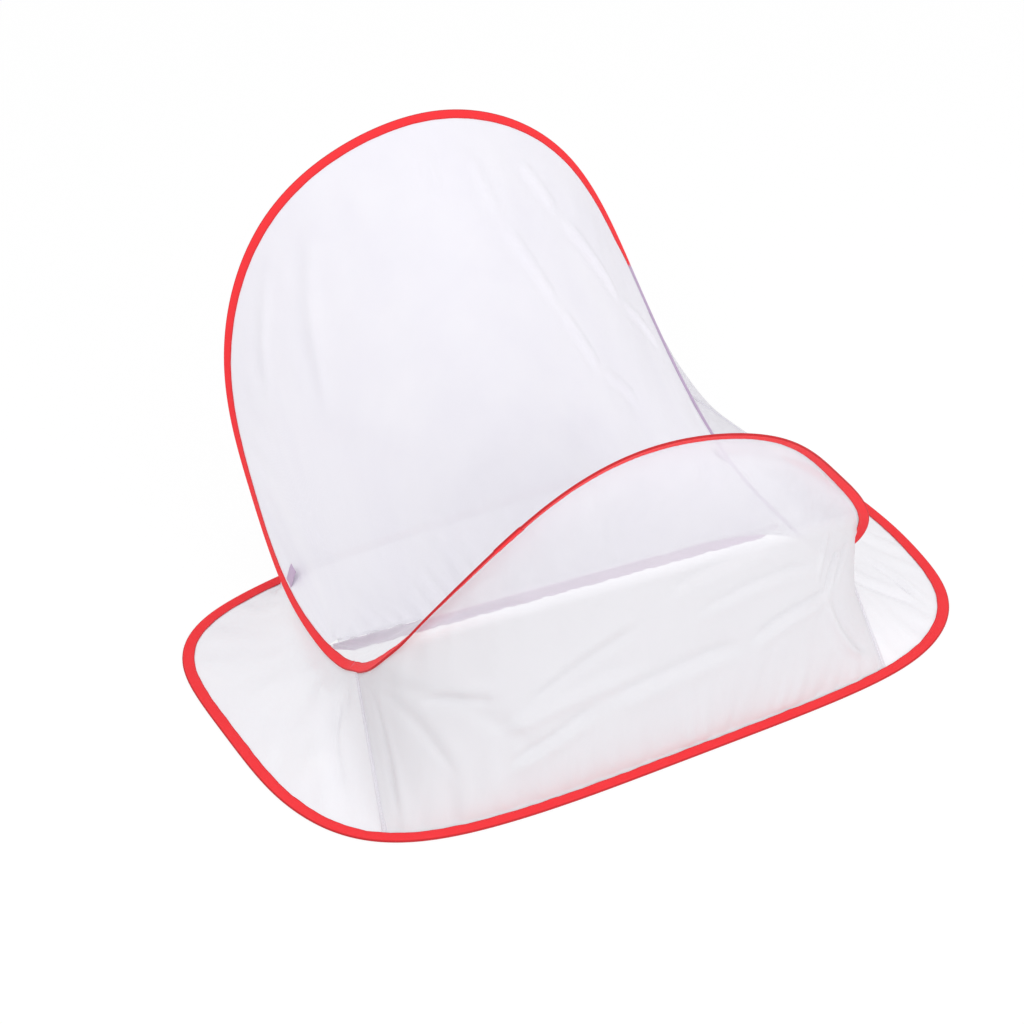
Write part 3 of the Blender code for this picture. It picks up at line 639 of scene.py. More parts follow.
RED_TAPE = binding_finish("red_binding_weave", BASE_MOUTH, False)
HOOP_TAPE = binding_finish("hoop_binding_weave", HOOP_MOUTH, True)
OVERLAP_TAPE = binding_finish("overlap_weave", HOOP_MOUTH, False)
LAVENDER_THREAD = thread_finish("lavender_thread", (0.58, 0.47, 0.64), (0.42, 0.32, 0.49))
RED_THREAD = thread_finish("red_thread", (0.80, 0.03, 0.035), (0.50, 0.01, 0.015))
PALE_THREAD = thread_finish("pale_thread", (0.82, 0.80, 0.86), (0.60, 0.57, 0.66))
DENSE_NET = net_finish("canopy_knit", 0.92)
FRONT_NET = net_finish("front_canopy_knit", 0.46, second=0.28)
REAR_NET = net_finish("rear_knit", 0.54)
# The front panel and the left end carry painted shade on their doubled parts
NET = net_finish("net_knit", 0.56, painted_shade_tint=0.79, second=0.34, slope=LOW_FRONT)
LEFT_NET = net_finish("left_end_knit", 0.62, painted_shade_tint=0.87, second=0.22, slope=LEFT_END)
SEAM_NET = net_finish("seam_knit", 0.50)
LAVENDER_TAPE = lavender_finish("lavender_tape_weave", PALE_LAVENDER, PALE_LAVENDER_DEEP)
TAB_TAPE = lavender_finish("tab_weave", (0.64, 0.49, 0.68), (0.50, 0.36, 0.55))
STEEL = steel_finish()


# Making meshes
def cloth_piece(name, points, lengths, finish):
    """A grid of points made into a piece of cloth, with its coordinates in metres."""
    rows, columns = points.shape[:2]
    bpy.ops.object.select_all(action="DESELECT")
    bpy.ops.mesh.primitive_grid_add(x_subdivisions=columns - 1, y_subdivisions=rows - 1, size=1.0)
    piece = bpy.context.object
    piece.name = name
    mesh = piece.data
    mesh.name = name
    mesh.vertices.foreach_set("co", (points + HOME).reshape(-1))
    layer = mesh.uv_layers.active
    layer.name = "cloth"
    corners = np.empty(len(mesh.loops), dtype=np.int32)
    mesh.loops.foreach_get("vertex_index", corners)
    layer.data.foreach_set("uv", lengths.reshape(-1, 2)[corners].astype(np.float32).reshape(-1))
    mesh.materials.append(finish)
    mesh.shade_smooth()
    mesh.update()
    return piece


def flat_lengths(points):
    """Distances along each row and down each column, in metres."""
    along = np.linalg.norm(np.diff(points, axis=1), axis=2)
    down = np.linalg.norm(np.diff(points, axis=0), axis=2)
    u = np.concatenate([np.zeros((points.shape[0], 1)), np.cumsum(along, axis=1)], axis=1)
    v = np.concatenate([np.zeros((1, points.shape[1])), np.cumsum(down, axis=0)], axis=0)
    return np.stack([u - u.mean(axis=1, keepdims=True), v], axis=2)


def sheet_area(points):
    first = np.cross(points[1:, :-1] - points[:-1, :-1], points[:-1, 1:] - points[:-1, :-1])
    second = np.cross(points[1:, :-1] - points[1:, 1:], points[:-1, 1:] - points[1:, 1:])
    return float((np.linalg.norm(first, axis=2) + np.linalg.norm(second, axis=2)).sum() / 2)


def placed(name, data):
    """An object in the scene that shows the given mesh or curve."""
    made = bpy.data.objects.new(name, data)
    bpy.context.scene.collection.objects.link(made)
    return made


def evened(grid, rounds):
    """A grid with its edges held and its inside relaxed towards a taut sheet."""
    grid = grid.copy()
    for _ in range(rounds):
        grid[1:-1, 1:-1] = (grid[:-2, 1:-1] + grid[2:, 1:-1] + grid[1:-1, :-2] + grid[1:-1, 2:]) / 4
    return grid


def finer(grid, places, wanted, row_count):
    """A coarse hanging grid read at closer columns and rows."""
    columns = np.stack([[np.interp(wanted, places, line[:, k]) for k in range(3)] for line in grid])
    columns = np.moveaxis(columns, 1, 2)
    inner = np.linspace(0.0, len(grid) - 1.0, row_count)
    low = np.clip(inner.astype(int), 0, len(grid) - 2)
    share = (inner - low)[:, None, None]
    return columns[low] * (1 - share) + columns[low + 1] * share


def tied(grid, first, last):
    """Moves a grid's two long edges to their exact lines, fading into the sheet."""
    down = np.linspace(0.0, 1.0, len(grid))[:, None, None]
    grid = grid + (first - grid[0])[None] * (1 - down) ** 2 + (last - grid[-1])[None] * down**2
    grid[0] = first
    grid[-1] = last
    return grid


def sheet_normals(grid):
    return unit(np.cross(np.gradient(grid, axis=1), np.gradient(grid, axis=0)))


# Height of the folds against their tables, the number and the shortest and longest of the small
# waves of each kind, how near the edges all of them fade, and how far along a wave may start
FOLD_SHARE = 0.8
GATHERS = 14
GATHER_WAVES = (0.018, 0.060)
GATHER_LEAN = 0.35
SWELLS = 10
SWELL_WAVES = (0.10, 0.35)
SWELL_SHARE = 0.8
TOP_FADE = 0.045
EDGE_FADE = 0.012
PHASE_RANGE = 6.28


def ripples(chance, least, places, waves):
    """A sum of waves of the given lengths, each with its own chance strength and start."""
    return sum(chance.uniform(least, 1.0) * np.sin(2 * math.pi * places / wave
                                                   + chance.uniform(0, PHASE_RANGE))
               for wave in waves)


def creased(grid, folds, ripple, seed):
    """Adds long folds between two places of the sheet, and small gathers along its bound edges."""
    rows, columns = grid.shape[:2]
    lengths = flat_lengths(grid)
    wide = np.ptp(lengths[:, :, 0], axis=1).mean()
    tall = lengths[-1, :, 1].mean()
    v, u = np.meshgrid(np.linspace(0.0, 1.0, rows), np.linspace(0.0, 1.0, columns), indexing="ij")
    depth = np.zeros((rows, columns))
    for u0, v0, u1, v1, spread, height in folds:
        start = np.array([u0 * wide, v0 * tall])
        run = np.array([u1 * wide, v1 * tall]) - start
        here = np.stack([u * wide, v * tall], axis=2) - start
        share = (here @ run) / (run @ run)
        side = (here[:, :, 0] * run[1] - here[:, :, 1] * run[0]) / np.linalg.norm(run)
        ends = np.exp(-np.clip(np.abs(share - 0.5) * 2.1 - 0.55, 0.0, None) ** 2 / 0.09)
        ridge = np.exp(-(side / spread) ** 2) - 0.45 * np.exp(-((side - 1.9 * spread) / (1.4 * spread)) ** 2)
        depth += FOLD_SHARE * height * ridge * ends
    chance = np.random.default_rng(seed)
    for _ in range(GATHERS):
        wave = chance.uniform(*GATHER_WAVES)
        phase = chance.uniform(0.0, 2 * math.pi)
        lean = chance.uniform(-GATHER_LEAN, GATHER_LEAN)
        strength = ripple * chance.uniform(0.3, 1.0) * wave / 0.04
        edge = np.exp(-v * tall / (1.3 * wave)) + np.exp(-(1 - v) * tall / (1.3 * wave))
        depth += strength * edge * np.sin(2 * math.pi * (u * wide + lean * v * tall) / wave + phase)
    for _ in range(SWELLS):
        angle = chance.uniform(0.0, math.pi)
        wave = chance.uniform(*SWELL_WAVES)
        phase = chance.uniform(0.0, 2 * math.pi)
        run = u * wide * math.cos(angle) + v * tall * math.sin(angle)
        depth += SWELL_SHARE * ripple * np.sin(2 * math.pi * run / wave + phase)
    fade = np.clip(v * tall / TOP_FADE, 0.0, 1.0) ** 2 * np.clip((1 - v) * tall / EDGE_FADE, 0.0, 1.0)
    fade *= np.clip(u * wide / EDGE_FADE, 0.0, 1.0) * np.clip((1 - u) * wide / EDGE_FADE, 0.0, 1.0)
    return grid + sheet_normals(grid) * (depth * fade)[:, :, None]


def carry(piece, nodes, motion):
    """Hides the nodes a piece stands for, ties a still piece to its body, and bakes in the place of a piece
    that bends.
    """
    bodies, bend = motion
    if nodes:
        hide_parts(*nodes)
    if bend is None:
        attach(piece, bodies[0])
    else:
        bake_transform(piece)


def finish_net(name, grid, node, motion, finish):
    lengths = flat_lengths(grid)
    piece = cloth_piece(name, grid, lengths, finish)
    carry(piece, [node], motion)
    width = float(np.ptp(lengths[:, :, 0], axis=1).max())
    length = float(lengths[-1, :, 1].max())
    min(sheet_area(grid), width * length)


# Binding tape: a strip folded over the wire, its two leaves stitched together at the open side
STITCH_BACK = 0.0031
PUCKER = 0.00013
WANDER_BESIDE = 0.00010
WANDER_OUT = 0.00018


def tape_profile(mouth):
    """Outline of the folded tape, from one outer edge over the fold to the other and back inside."""
    leaf = ((mouth, 0.00100), (mouth - 0.0012, 0.00104), (mouth - 0.0024, 0.00084),
            (mouth - 0.0036, 0.00078), (mouth - 0.0048, 0.00094), (mouth * 0.50, 0.00112),
            (mouth * 0.33, 0.00125), (0.0027, 0.00145), (0.0013, 0.00165))
    fold = [(FOLD_RADIUS * math.cos(math.radians(a)), FOLD_RADIUS * math.sin(math.radians(a)))
            for a in range(90, 181, 18)]
    upper = list(leaf) + fold
    skin = upper + [(w, -n) for w, n in upper[-2::-1]]
    inner = []
    for w, n in skin:
        if w <= 0.0:
            shrink = 1 - TAPE_WALL / FOLD_RADIUS
            inner.append((w * shrink, n * shrink))
        else:
            inner.append((w, n - math.copysign(TAPE_WALL, n)))
    return np.array(skin + inner[::-1])


def swept_tape(name, frames, places, profile, narrow, finish, closed=False):
    """The tape's outline carried along a hoop, with small puckers along the stitching."""
    centre, width, normal = frames
    count = len(places)
    chance = np.random.default_rng(len(name) * 7 + count)
    pucker = ripples(chance, 0.3, places, (0.011, 0.017, 0.029, 0.052))
    wander = ripples(chance, 0.4, places, (0.035, 0.081, 0.19))
    if closed:
        # The waves of a closed tape have to meet, so they are drawn again in whole turns
        pucker *= 0.0
        wander *= 0.0
        laps = places[-1] + (places[1] - places[0])
        for turns in (61, 113, 181, 293):
            pucker += chance.uniform(0.3, 1.0) * np.sin(2 * math.pi * turns * places / laps + turns)
        for turns in (17, 41, 89):
            wander += chance.uniform(0.4, 1.0) * np.sin(2 * math.pi * turns * places / laps + turns)
    rings = np.empty((count, len(profile), 3))
    for k, (w, n) in enumerate(profile):
        out = min(max(w / profile[0][0], 0.0), 1.0)
        side = n + PUCKER * pucker * out**2 + WANDER_BESIDE * wander * out
        reach = (w * narrow if w > 0.0 else w) + WANDER_OUT * wander * out**2
        rings[:, k] = centre + width * np.reshape(reach, (-1, 1)) + normal * np.reshape(side, (-1, 1))
    mesh_data = bmesh.new()
    layer = mesh_data.loops.layers.uv.new("cloth")
    turns = run_along(np.vstack([profile, profile[:1]]))
    verts = [[mesh_data.verts.new(p + HOME) for p in ring] for ring in rings]
    step = places[1] - places[0]
    for i in range(count if closed else count - 1):
        near, far = verts[i], verts[(i + 1) % count]
        for k in range(len(profile)):
            other = (k + 1) % len(profile)
            face = mesh_data.faces.new((near[k], near[other], far[other], far[k]))
            spots = ((places[i], turns[k]), (places[i], turns[k + 1]),
                     (places[i] + step, turns[k + 1]), (places[i] + step, turns[k]))
            for loop, spot in zip(face.loops, spots):
                loop[layer].uv = spot
    if not closed:
        half = len(profile) // 2
        for ring in (verts[0], verts[-1]):
            for k in range(half - 1):
                mesh_data.faces.new((ring[k], ring[k + 1], ring[-k - 2], ring[-k - 1]))
    bmesh.ops.recalc_face_normals(mesh_data, faces=mesh_data.faces)
    mesh = bpy.data.meshes.new(name)
    mesh_data.to_mesh(mesh)
    mesh_data.free()
    mesh.materials.append(finish)
    mesh.shade_smooth()
    mesh.set_sharp_from_angle(angle=math.radians(55.0))
    return placed(name, mesh)


def one_stitch():
    """A single stitch, modelled once along X: its points and faces."""
    bpy.ops.object.select_all(action="DESELECT")
    bpy.ops.mesh.primitive_uv_sphere_add(segments=6, ring_count=4, radius=1.0,
                                         rotation=(0.0, math.pi / 2, 0.0))
    made = bpy.context.object
    bpy.ops.object.transform_apply(location=False, rotation=True, scale=False)
    points = np.array([v.co for v in made.data.vertices])
    faces = [tuple(f.vertices) for f in made.data.polygons]
    bpy.data.objects.remove(made, do_unlink=True)
    return points, faces


STITCH_POINTS, STITCH_FACES = one_stitch()


def stitch_row(name, lines, size, finish):
    """A row of stitches: each is a centre, a run direction and an outward direction."""
    points = []
    faces = []
    length, thick, high = size
    for centre, run, out in lines:
        side = np.cross(out, run)
        shape = (STITCH_POINTS[:, :1] * length / 2 * run + STITCH_POINTS[:, 1:2] * thick / 2 * side
                 + STITCH_POINTS[:, 2:3] * high / 2 * out)
        start = len(points) * len(STITCH_POINTS)
        points.append(centre + shape + HOME)
        faces.extend(tuple(v + start for v in f) for f in STITCH_FACES)
    mesh = bpy.data.meshes.new(name)
    mesh.from_pydata(np.concatenate(points).tolist(), [], faces)
    mesh.materials.append(finish)
    mesh.shade_smooth()
    return placed(name, mesh)


STITCH_PITCH = 0.0042
STITCH_SIZE = (0.0029, 0.00055, 0.00045)
STITCH_OUT = 0.0008


def tape_stitches(frame_at, mouth, start, end, narrow_at=None):
    """Centres and directions of the stitches on both faces of a stretch of tape."""
    places = np.arange(start + STITCH_PITCH / 2, end - STITCH_PITCH / 4, STITCH_PITCH)
    centre, width, normal = frame_at(places)
    run = unit(np.cross(width, normal))
    reach = np.full((len(places), 1), mouth - STITCH_BACK)
    if narrow_at:
        reach *= narrow_at(places)[:, None]
    found = []
    for side in (1.0, -1.0):
        spots = centre + width * reach + normal * side * STITCH_OUT
        found.extend(zip(spots, run, normal * side))
    return found


# Base hoop
base_places = np.linspace(0.0, base_round, BASE_TAPE_RINGS, endpoint=False)
base_tape = swept_tape("base_tape", base_frame(base_places), base_places, tape_profile(BASE_MOUTH), 1.0,
                       RED_TAPE, closed=True)
carry(base_tape, ["base_binding"], STILL)
base_thread = stitch_row("base_tape_stitches", tape_stitches(base_frame, BASE_MOUTH, 0.0, base_round),
                         STITCH_SIZE, RED_THREAD)
carry(base_thread, [], STILL)

# Upper hoop: the two arches and the side rails, built at rest; the arches' hinges are not made to bend here
TAPES = (
    ("back_arch_tape", BACK_TAPE_SHARES, ["back_arch_binding", "rear_right_bend", "rear_left_bend"],
     WITH_BACK),
    ("left_rail_tape", LEFT_RAIL_SHARES, ["left_rail_binding"], STILL),
    ("front_arch_tape", FRONT_TAPE_SHARES, ["front_arch_binding", "front_left_bend", "front_right_bend"],
     WITH_FRONT),
    ("right_rail_tape", RIGHT_RAIL_SHARES, ["right_rail_binding"], STILL),
)
for tape_name, (start, end), nodes, motion in TAPES:
    start *= hoop.length
    end *= hoop.length
    places = np.linspace(start, end, int((end - start) / TAPE_SPACING) + 2)
    tape = swept_tape(tape_name, hoop_frame(places), places, tape_profile(HOOP_MOUTH), tape_share(places),
                      HOOP_TAPE)
    carry(tape, nodes, motion)
    red_start = min(max(start, RED_SHARES[0] * hoop.length), end)
    red_end = max(min(end, RED_SHARES[1] * hoop.length), start)
    for row_name, first, last, thread in (("stitches", red_start, red_end, RED_THREAD),
                                          ("low_stitches", start, red_start, LAVENDER_THREAD),
                                          ("side_stitches", red_end, end, LAVENDER_THREAD)):
        if last - first > STITCH_PITCH:
            row = stitch_row(tape_name + "_" + row_name,
                             tape_stitches(hoop_frame, HOOP_MOUTH, first, last, tape_share),
                             STITCH_SIZE, thread)
            carry(row, [], motion)


def wire_piece(name, start, end, nodes, motion, frame_at=hoop_frame):
    """Spring wire inside the tape."""
    places = np.linspace(start, end, int((end - start) / WIRE_SPACING) + 2)
    centre, _, _ = frame_at(places)
    curve = bpy.data.curves.new(name, "CURVE")
    curve.dimensions = "3D"
    curve.bevel_depth = WIRE_RADIUS
    curve.bevel_resolution = 2
    curve.use_fill_caps = True
    spline = curve.splines.new("POLY")
    spline.points.add(len(places) - 1)
    for knot, point in zip(spline.points, centre + HOME):
        knot.co = (*point, 1.0)
    made = placed(name, curve)
    bpy.ops.object.select_all(action="DESELECT")
    bpy.context.view_layer.objects.active = made
    made.select_set(True)
    bpy.ops.object.convert(target="MESH")
    made = bpy.context.object
    made.data.materials.clear()
    made.data.materials.append(STEEL)
    carry(made, nodes, motion)


WIRES = (
    ("back_arch_spring", BACK_TAPE_SHARES, ["back_arch_wire"], WITH_BACK),
    ("front_arch_spring", FRONT_TAPE_SHARES,
     ["front_arch_wire_left", "front_arch_wire_right", "hoop_wire_ferrule"], WITH_FRONT),
    ("left_rail_spring", LEFT_RAIL_SHARES, ["left_rail_wire"], STILL),
    ("right_rail_spring", RIGHT_RAIL_SHARES, ["right_rail_wire"], STILL),
)
for wire_name, (start, end), nodes, motion in WIRES:
    wire_piece(wire_name, start * hoop.length, end * hoop.length, nodes, motion)
wire_piece("base_spring", 0.0, base_round - BASE_WIRE_GAP, ["base_wire", "base_wire_ferrule"], STILL,
           base_frame)

# Second turn of tape over the joint of the binding
front_span = (FRONT_HINGE_SHARES[1] - FRONT_HINGE_SHARES[0]) * hoop.length
overlap_at = FRONT_HINGE_SHARES[0] * hoop.length + front_span * OVERLAP_SHARE
overlap_places = np.linspace(overlap_at - OVERLAP_LENGTH / 2, overlap_at + OVERLAP_LENGTH / 2,
                             OVERLAP_RINGS)
overlap = swept_tape("binding_overlap", hoop_frame(overlap_places), overlap_places,
                     tape_profile(HOOP_MOUTH) * np.array(OVERLAP_GROWTH), 1.0, OVERLAP_TAPE)
carry(overlap, ["hoop_binding_overlap"], WITH_FRONT)

# Nets
coarse_doubled = np.concatenate([coarse - hoop.length, coarse, coarse + hoop.length])


def coarse_between(start, end):
    inside = coarse_doubled[(coarse_doubled > start) & (coarse_doubled < end)]
    return np.concatenate([[start], inside, [end]])


def canopy_edge(wanted, beyond):
    """Points of the canopy in the tape's plane, a distance beyond its mouth."""
    centre, width, normal = hoop_frame(wanted)
    return centre + width * (HOOP_MOUTH * tape_share(wanted)[:, None] + beyond) + normal * NET_SIDE


def canopy_grid(start, end, row_count, side, columns, rows):
    places = coarse_between(start, end)
    wanted = np.linspace(start, end, columns)
    deep = STRAP_SETBACK + side * CANOPY_OFF_STRAP
    top = STRAP_TOP + CANOPY_OVER_STRAP

    def seat(at, off, lift):
        shares = (at - start) / (end - start)
        across = side * STRAP_REACH * (1 - 2 * shares)
        return np.array([turned_point(x, deep + side * off, top + lift) for x in across])

    second = canopy_edge(places, LEAD)
    shares = np.linspace(0.0, 1.0, row_count)[:, None, None]
    last = seat(places, LEAD, LEAD)
    grid = evened(second[None] * (1 - shares) + last[None] * shares, CANOPY_ROUNDS)
    grid = finer(grid, places, wanted, rows)
    grid = tied(grid, canopy_edge(wanted, LEAD), seat(wanted, LEAD, LEAD))
    grid = evened(grid, FINE_ROUNDS)
    top_rows = [canopy_edge(wanted, -NET_IN), canopy_edge(wanted, 0.0)]
    low_rows = [seat(wanted, 0.0, 0.0)]
    return np.concatenate([np.array(top_rows), grid, np.array(low_rows)])


edge_step = STRAP_SETBACK - LEAD
back_grid = canopy_grid(edge_step, left_low - edge_step, row_count=8, side=1, columns=300, rows=110)
front_grid = canopy_grid(left_low - STRAP_SETBACK + 2 * LEAD, hoop.length + STRAP_SETBACK - 2 * LEAD,
                         row_count=6, side=-1, columns=280, rows=80)


def skirt_grid(start_seam, end_seam, columns, rows):
    start = SEAM_SHARES[start_seam] * hoop.length
    end = SEAM_SHARES[end_seam] * hoop.length
    if end < start:
        start -= hoop.length
    tops = np.linspace(start, end, DENSE)
    feet = base_below(tops)
    wanted = 0.5 * np.linspace(start, end, columns)
    wanted += 0.5 * np.interp(np.linspace(feet[0], feet[-1], columns), feet, tops)

    def rows_at(places):
        centre, width, _ = base_frame(base_below(places))
        first, leave, inside = skirt_start(places)
        return (inside, first, first + leave * LEAD, centre + width * (BASE_MOUTH + LEAD),
                centre + width * (BASE_MOUTH - NET_IN))

    runs = coarse_between(start, end)
    _, _, second, last_but_one, _ = rows_at(runs)
    shares = np.linspace(0.0, 1.0, HANG_ROWS)[:, None, None]
    grid = evened(second[None] * (1 - shares) + last_but_one[None] * shares, SKIRT_ROUNDS)
    grid = finer(grid, runs, wanted, rows)
    inside, first, second, last_but_one, last = rows_at(wanted)
    grid = evened(tied(grid, second, last_but_one), FINE_ROUNDS)
    return np.concatenate([inside[None], first[None], grid, last[None]])


rear_grid = skirt_grid("rear_right", "rear_left", columns=300, rows=100)
left_grid = skirt_grid("rear_left", "front_left", columns=150, rows=50)
front_skirt_grid = skirt_grid("front_left", "front_right", columns=280, rows=90)
right_grid = skirt_grid("front_right", "rear_right", columns=150, rows=50)

# Folds: from and to as shares along and down each sheet, half width, height
CANOPY_BACK_FOLDS = (
    (0.425, 0.071, 0.381, 0.161, 0.006, 0.0045), (0.381, 0.161, 0.288, 0.214, 0.006, 0.0055),
    (0.288, 0.214, 0.205, 0.090, 0.006, 0.0045), (0.472, 0.080, 0.455, 0.223, 0.006, 0.0040),
    (0.455, 0.223, 0.401, 0.393, 0.006, 0.0055), (0.401, 0.393, 0.351, 0.500, 0.006, 0.0055),
    (0.351, 0.500, 0.271, 0.500, 0.007, 0.0040), (0.508, 0.036, 0.505, 0.170, 0.006, 0.0050),
    (0.609, 0.080, 0.709, 0.375, 0.010, 0.0040), (0.640, 0.030, 0.749, 0.161, 0.008, 0.0040),
    (0.800, 0.062, 0.602, 0.670, 0.022, 0.0035), (0.602, 0.670, 0.458, 0.670, 0.022, 0.0035),
    (0.458, 0.670, 0.274, 0.554, 0.022, 0.0035),
)
CANOPY_FRONT_FOLDS = (
    (0.631, 0.159, 0.692, 0.040, 0.008, -0.0050), (0.484, 0.110, 0.599, 0.902, 0.020, 0.0030),
    (0.720, 0.100, 0.800, 0.700, 0.010, 0.0040),
)
FRONT_FOLDS = (
    (0.839, 0.446, 0.663, 0.685, 0.007, 0.0065), (0.663, 0.685, 0.405, 0.728, 0.008, 0.0055),
    (0.405, 0.728, 0.237, 0.804, 0.007, 0.0055), (0.215, 0.663, 0.480, 0.685, 0.009, -0.0045),
    (0.276, 0.609, 0.491, 0.522, 0.007, 0.0045), (0.129, 0.040, 0.355, 0.315, 0.006, 0.0040),
    (0.821, 0.478, 0.970, 0.880, 0.012, -0.0080), (0.846, 0.239, 0.821, 0.478, 0.006, 0.0060),
    (0.800, 0.200, 0.795, 0.450, 0.006, -0.0045), (0.870, 0.180, 0.850, 0.420, 0.005, 0.0045),
    (0.035, 0.130, 0.030, 0.930, 0.006, 0.0045), (0.050, 0.100, 0.154, 0.804, 0.010, 0.0030),
    (0.050, 0.080, 0.315, 0.859, 0.012, 0.0028), (0.108, 0.326, 0.250, 0.550, 0.008, 0.0045),
    (0.700, 0.330, 0.520, 0.460, 0.007, 0.0040), (0.790, 0.360, 0.560, 0.560, 0.006, 0.0040),
)
REAR_FOLDS = ((0.30, 0.05, 0.34, 0.80, 0.025, 0.005), (0.62, 0.05, 0.57, 0.90, 0.03, -0.005))
LEFT_FOLDS = (
    (0.309, 0.060, 0.930, 0.250, 0.024, -0.0070), (0.940, 0.120, 0.785, 0.846, 0.018, 0.0050),
    (0.698, 0.080, 0.611, 0.885, 0.020, -0.0040), (0.860, 0.200, 0.940, 0.880, 0.010, 0.0050),
    (0.800, 0.150, 0.860, 0.900, 0.030, -0.0080),
)
RIGHT_FOLDS = (
    (0.396, 0.596, 0.289, 0.962, 0.006, 0.0045), (0.396, 0.712, 0.310, 0.865, 0.005, 0.0040),
    (0.150, 0.300, 0.295, 0.923, 0.008, 0.0060), (0.600, 0.200, 0.500, 0.900, 0.014, 0.0040),
)

finish_net("back_canopy_net", creased(back_grid, CANOPY_BACK_FOLDS, ripple=0.0007, seed=3), "canopy_back",
           WITH_BACK, DENSE_NET)
finish_net("front_canopy_net", creased(front_grid, CANOPY_FRONT_FOLDS, ripple=0.0007, seed=5),
           "canopy_front", WITH_FRONT, FRONT_NET)
finish_net("rear_net", creased(rear_grid, REAR_FOLDS, ripple=0.0006, seed=7), "rear_panel",
           WITH_BACK, REAR_NET)
finish_net("left_end_net", creased(left_grid, LEFT_FOLDS, ripple=0.0005, seed=11), "left_end_panel",
           STILL, LEFT_NET)
finish_net("front_net", creased(front_skirt_grid, FRONT_FOLDS, ripple=0.0006, seed=13), "front_panel",
           WITH_FRONT, NET)
finish_net("right_end_net", creased(right_grid, RIGHT_FOLDS, ripple=0.0005, seed=17), "right_end_panel",
           STILL, REAR_NET)

# Corner seams: outline of the folded net edges, and the stitches along it
SEAM_HEIGHT = 0.0011
SEAM_PROFILE = np.array([(-0.0035, 0.0), (-0.0034, 0.0006), (-0.001, SEAM_HEIGHT), (0.001, SEAM_HEIGHT),
                         (0.0034, 0.0006), (0.0035, 0.0), (0.0, -0.0006)])
SEAM_MERGE = 0.00001
SEAM_STITCH_PITCH = 0.0045
SEAM_STITCH_START = 0.004
SEAM_STITCH_END = 0.003
SEAM_STITCH_SIZE = (0.0030, 0.0005, 0.0004)
SEAM_LINES = {"rear_right": rear_grid[1:-1, 0], "rear_left": rear_grid[1:-1, -1],
              "front_left": front_skirt_grid[1:-1, 0], "front_right": front_skirt_grid[1:-1, -1]}


def corner_seam(corner, line):
    """Two net edges folded into a narrow raised strip, with a row of stitches."""
    run = unit(np.gradient(line, axis=0))
    beside = unit(np.cross(run, np.array([0.0, 0.0, 1.0])))
    out = np.cross(beside, run)
    points = (line[:, None] + beside[:, None] * SEAM_PROFILE[None, :, :1]
              + out[:, None] * SEAM_PROFILE[None, :, 1:])
    points = np.concatenate([points, points[:, :1]], axis=1)
    piece = cloth_piece(corner + "_seam_fold", points, flat_lengths(points), SEAM_NET)
    bpy.ops.object.mode_set(mode="EDIT")
    bpy.ops.mesh.select_all(action="SELECT")
    bpy.ops.mesh.remove_doubles(threshold=SEAM_MERGE)
    bpy.ops.mesh.normals_make_consistent(inside=False)
    bpy.ops.object.mode_set(mode="OBJECT")
    carry(piece, [corner + "_seam"], STILL)
    at = run_along(line)
    spots = np.arange(SEAM_STITCH_START, at[-1] - SEAM_STITCH_END, SEAM_STITCH_PITCH)

    def read(values):
        return np.stack([np.interp(spots, at, values[:, k]) for k in range(3)], axis=1)

    places = read(line) + read(out) * SEAM_HEIGHT
    thread = stitch_row(corner + "_seam_stitches", list(zip(places, unit(read(run)), unit(read(out)))),
                        SEAM_STITCH_SIZE, PALE_THREAD)
    carry(thread, [], STILL)


for corner, seam_line in SEAM_LINES.items():
    corner_seam(corner, seam_line)


# Strap and tabs
def thickened(piece, thickness):
    solid = piece.modifiers.new("thickness", "SOLIDIFY")
    solid.thickness = thickness
    solid.offset = 0.0
    bpy.ops.object.modifier_apply(modifier="thickness")


def strap_ribbon():
    """A thin ribbon between the low points, wrinkled and slightly twisted, with narrow sewn tips."""
    across = np.linspace(-STRAP_HALF, STRAP_HALF, STRAP_COLUMNS)
    waves = ripples(np.random.default_rng(23), 0.3, across, (0.021, 0.034, 0.055, 0.12))
    tip = np.clip((STRAP_HALF - np.abs(across)) / STRAP_TIP_LENGTH, 0.0, 1.0)
    wide = STRAP_TIP_WIDTH + (STRAP_WIDTH - STRAP_TIP_WIDTH) * tip
    points = np.empty((STRAP_ROWS, STRAP_COLUMNS, 3))
    for i in range(STRAP_ROWS):
        down = i / (STRAP_ROWS - 1)
        curl = STRAP_BULGE * math.sin(math.pi * down) + STRAP_WRINKLE * down * waves * tip
        for j, x in enumerate(across):
            points[i, j] = turned_point(x, STRAP_SETBACK + curl[j], STRAP_TOP - wide[j] * down)
    piece = cloth_piece("strap_ribbon", points, flat_lengths(points), LAVENDER_TAPE)
    thickened(piece, STRAP_THICKNESS)
    carry(piece, ["tie_strap"], STILL)
    min(sheet_area(points), 2 * STRAP_HALF * STRAP_WIDTH * STRAP_SPARE)


def tab_piece(name, share):
    """A small tab that hangs from the mouth of the binding."""
    middle = share * hoop.length
    at = np.linspace(middle - TAB_WIDTH / 2, middle + TAB_WIDTH / 2, TAB_COLUMNS)
    centre, width, normal = hoop_frame(at)
    points = np.empty((TAB_ROWS, TAB_COLUMNS, 3))
    for i in range(TAB_ROWS):
        down = i / (TAB_ROWS - 1)
        reach = HOOP_MOUTH * tape_share(at)[:, None] - TAB_TUCK + (TAB_LENGTH + TAB_TUCK) * down
        curl = TAB_CURL * math.sin(TAB_CURL_TURN * down) * down + TAB_LIFTS[name] * down
        points[i] = centre + width * reach + normal * curl
    piece = cloth_piece(name + "_tape", points, flat_lengths(points), TAB_TAPE)
    thickened(piece, TAB_THICKNESS)
    carry(piece, [name], STILL)
    long = TAB_LENGTH + TAB_SPARE_LENGTH
    min(sheet_area(points), TAB_WIDTH * long)


strap_ribbon()


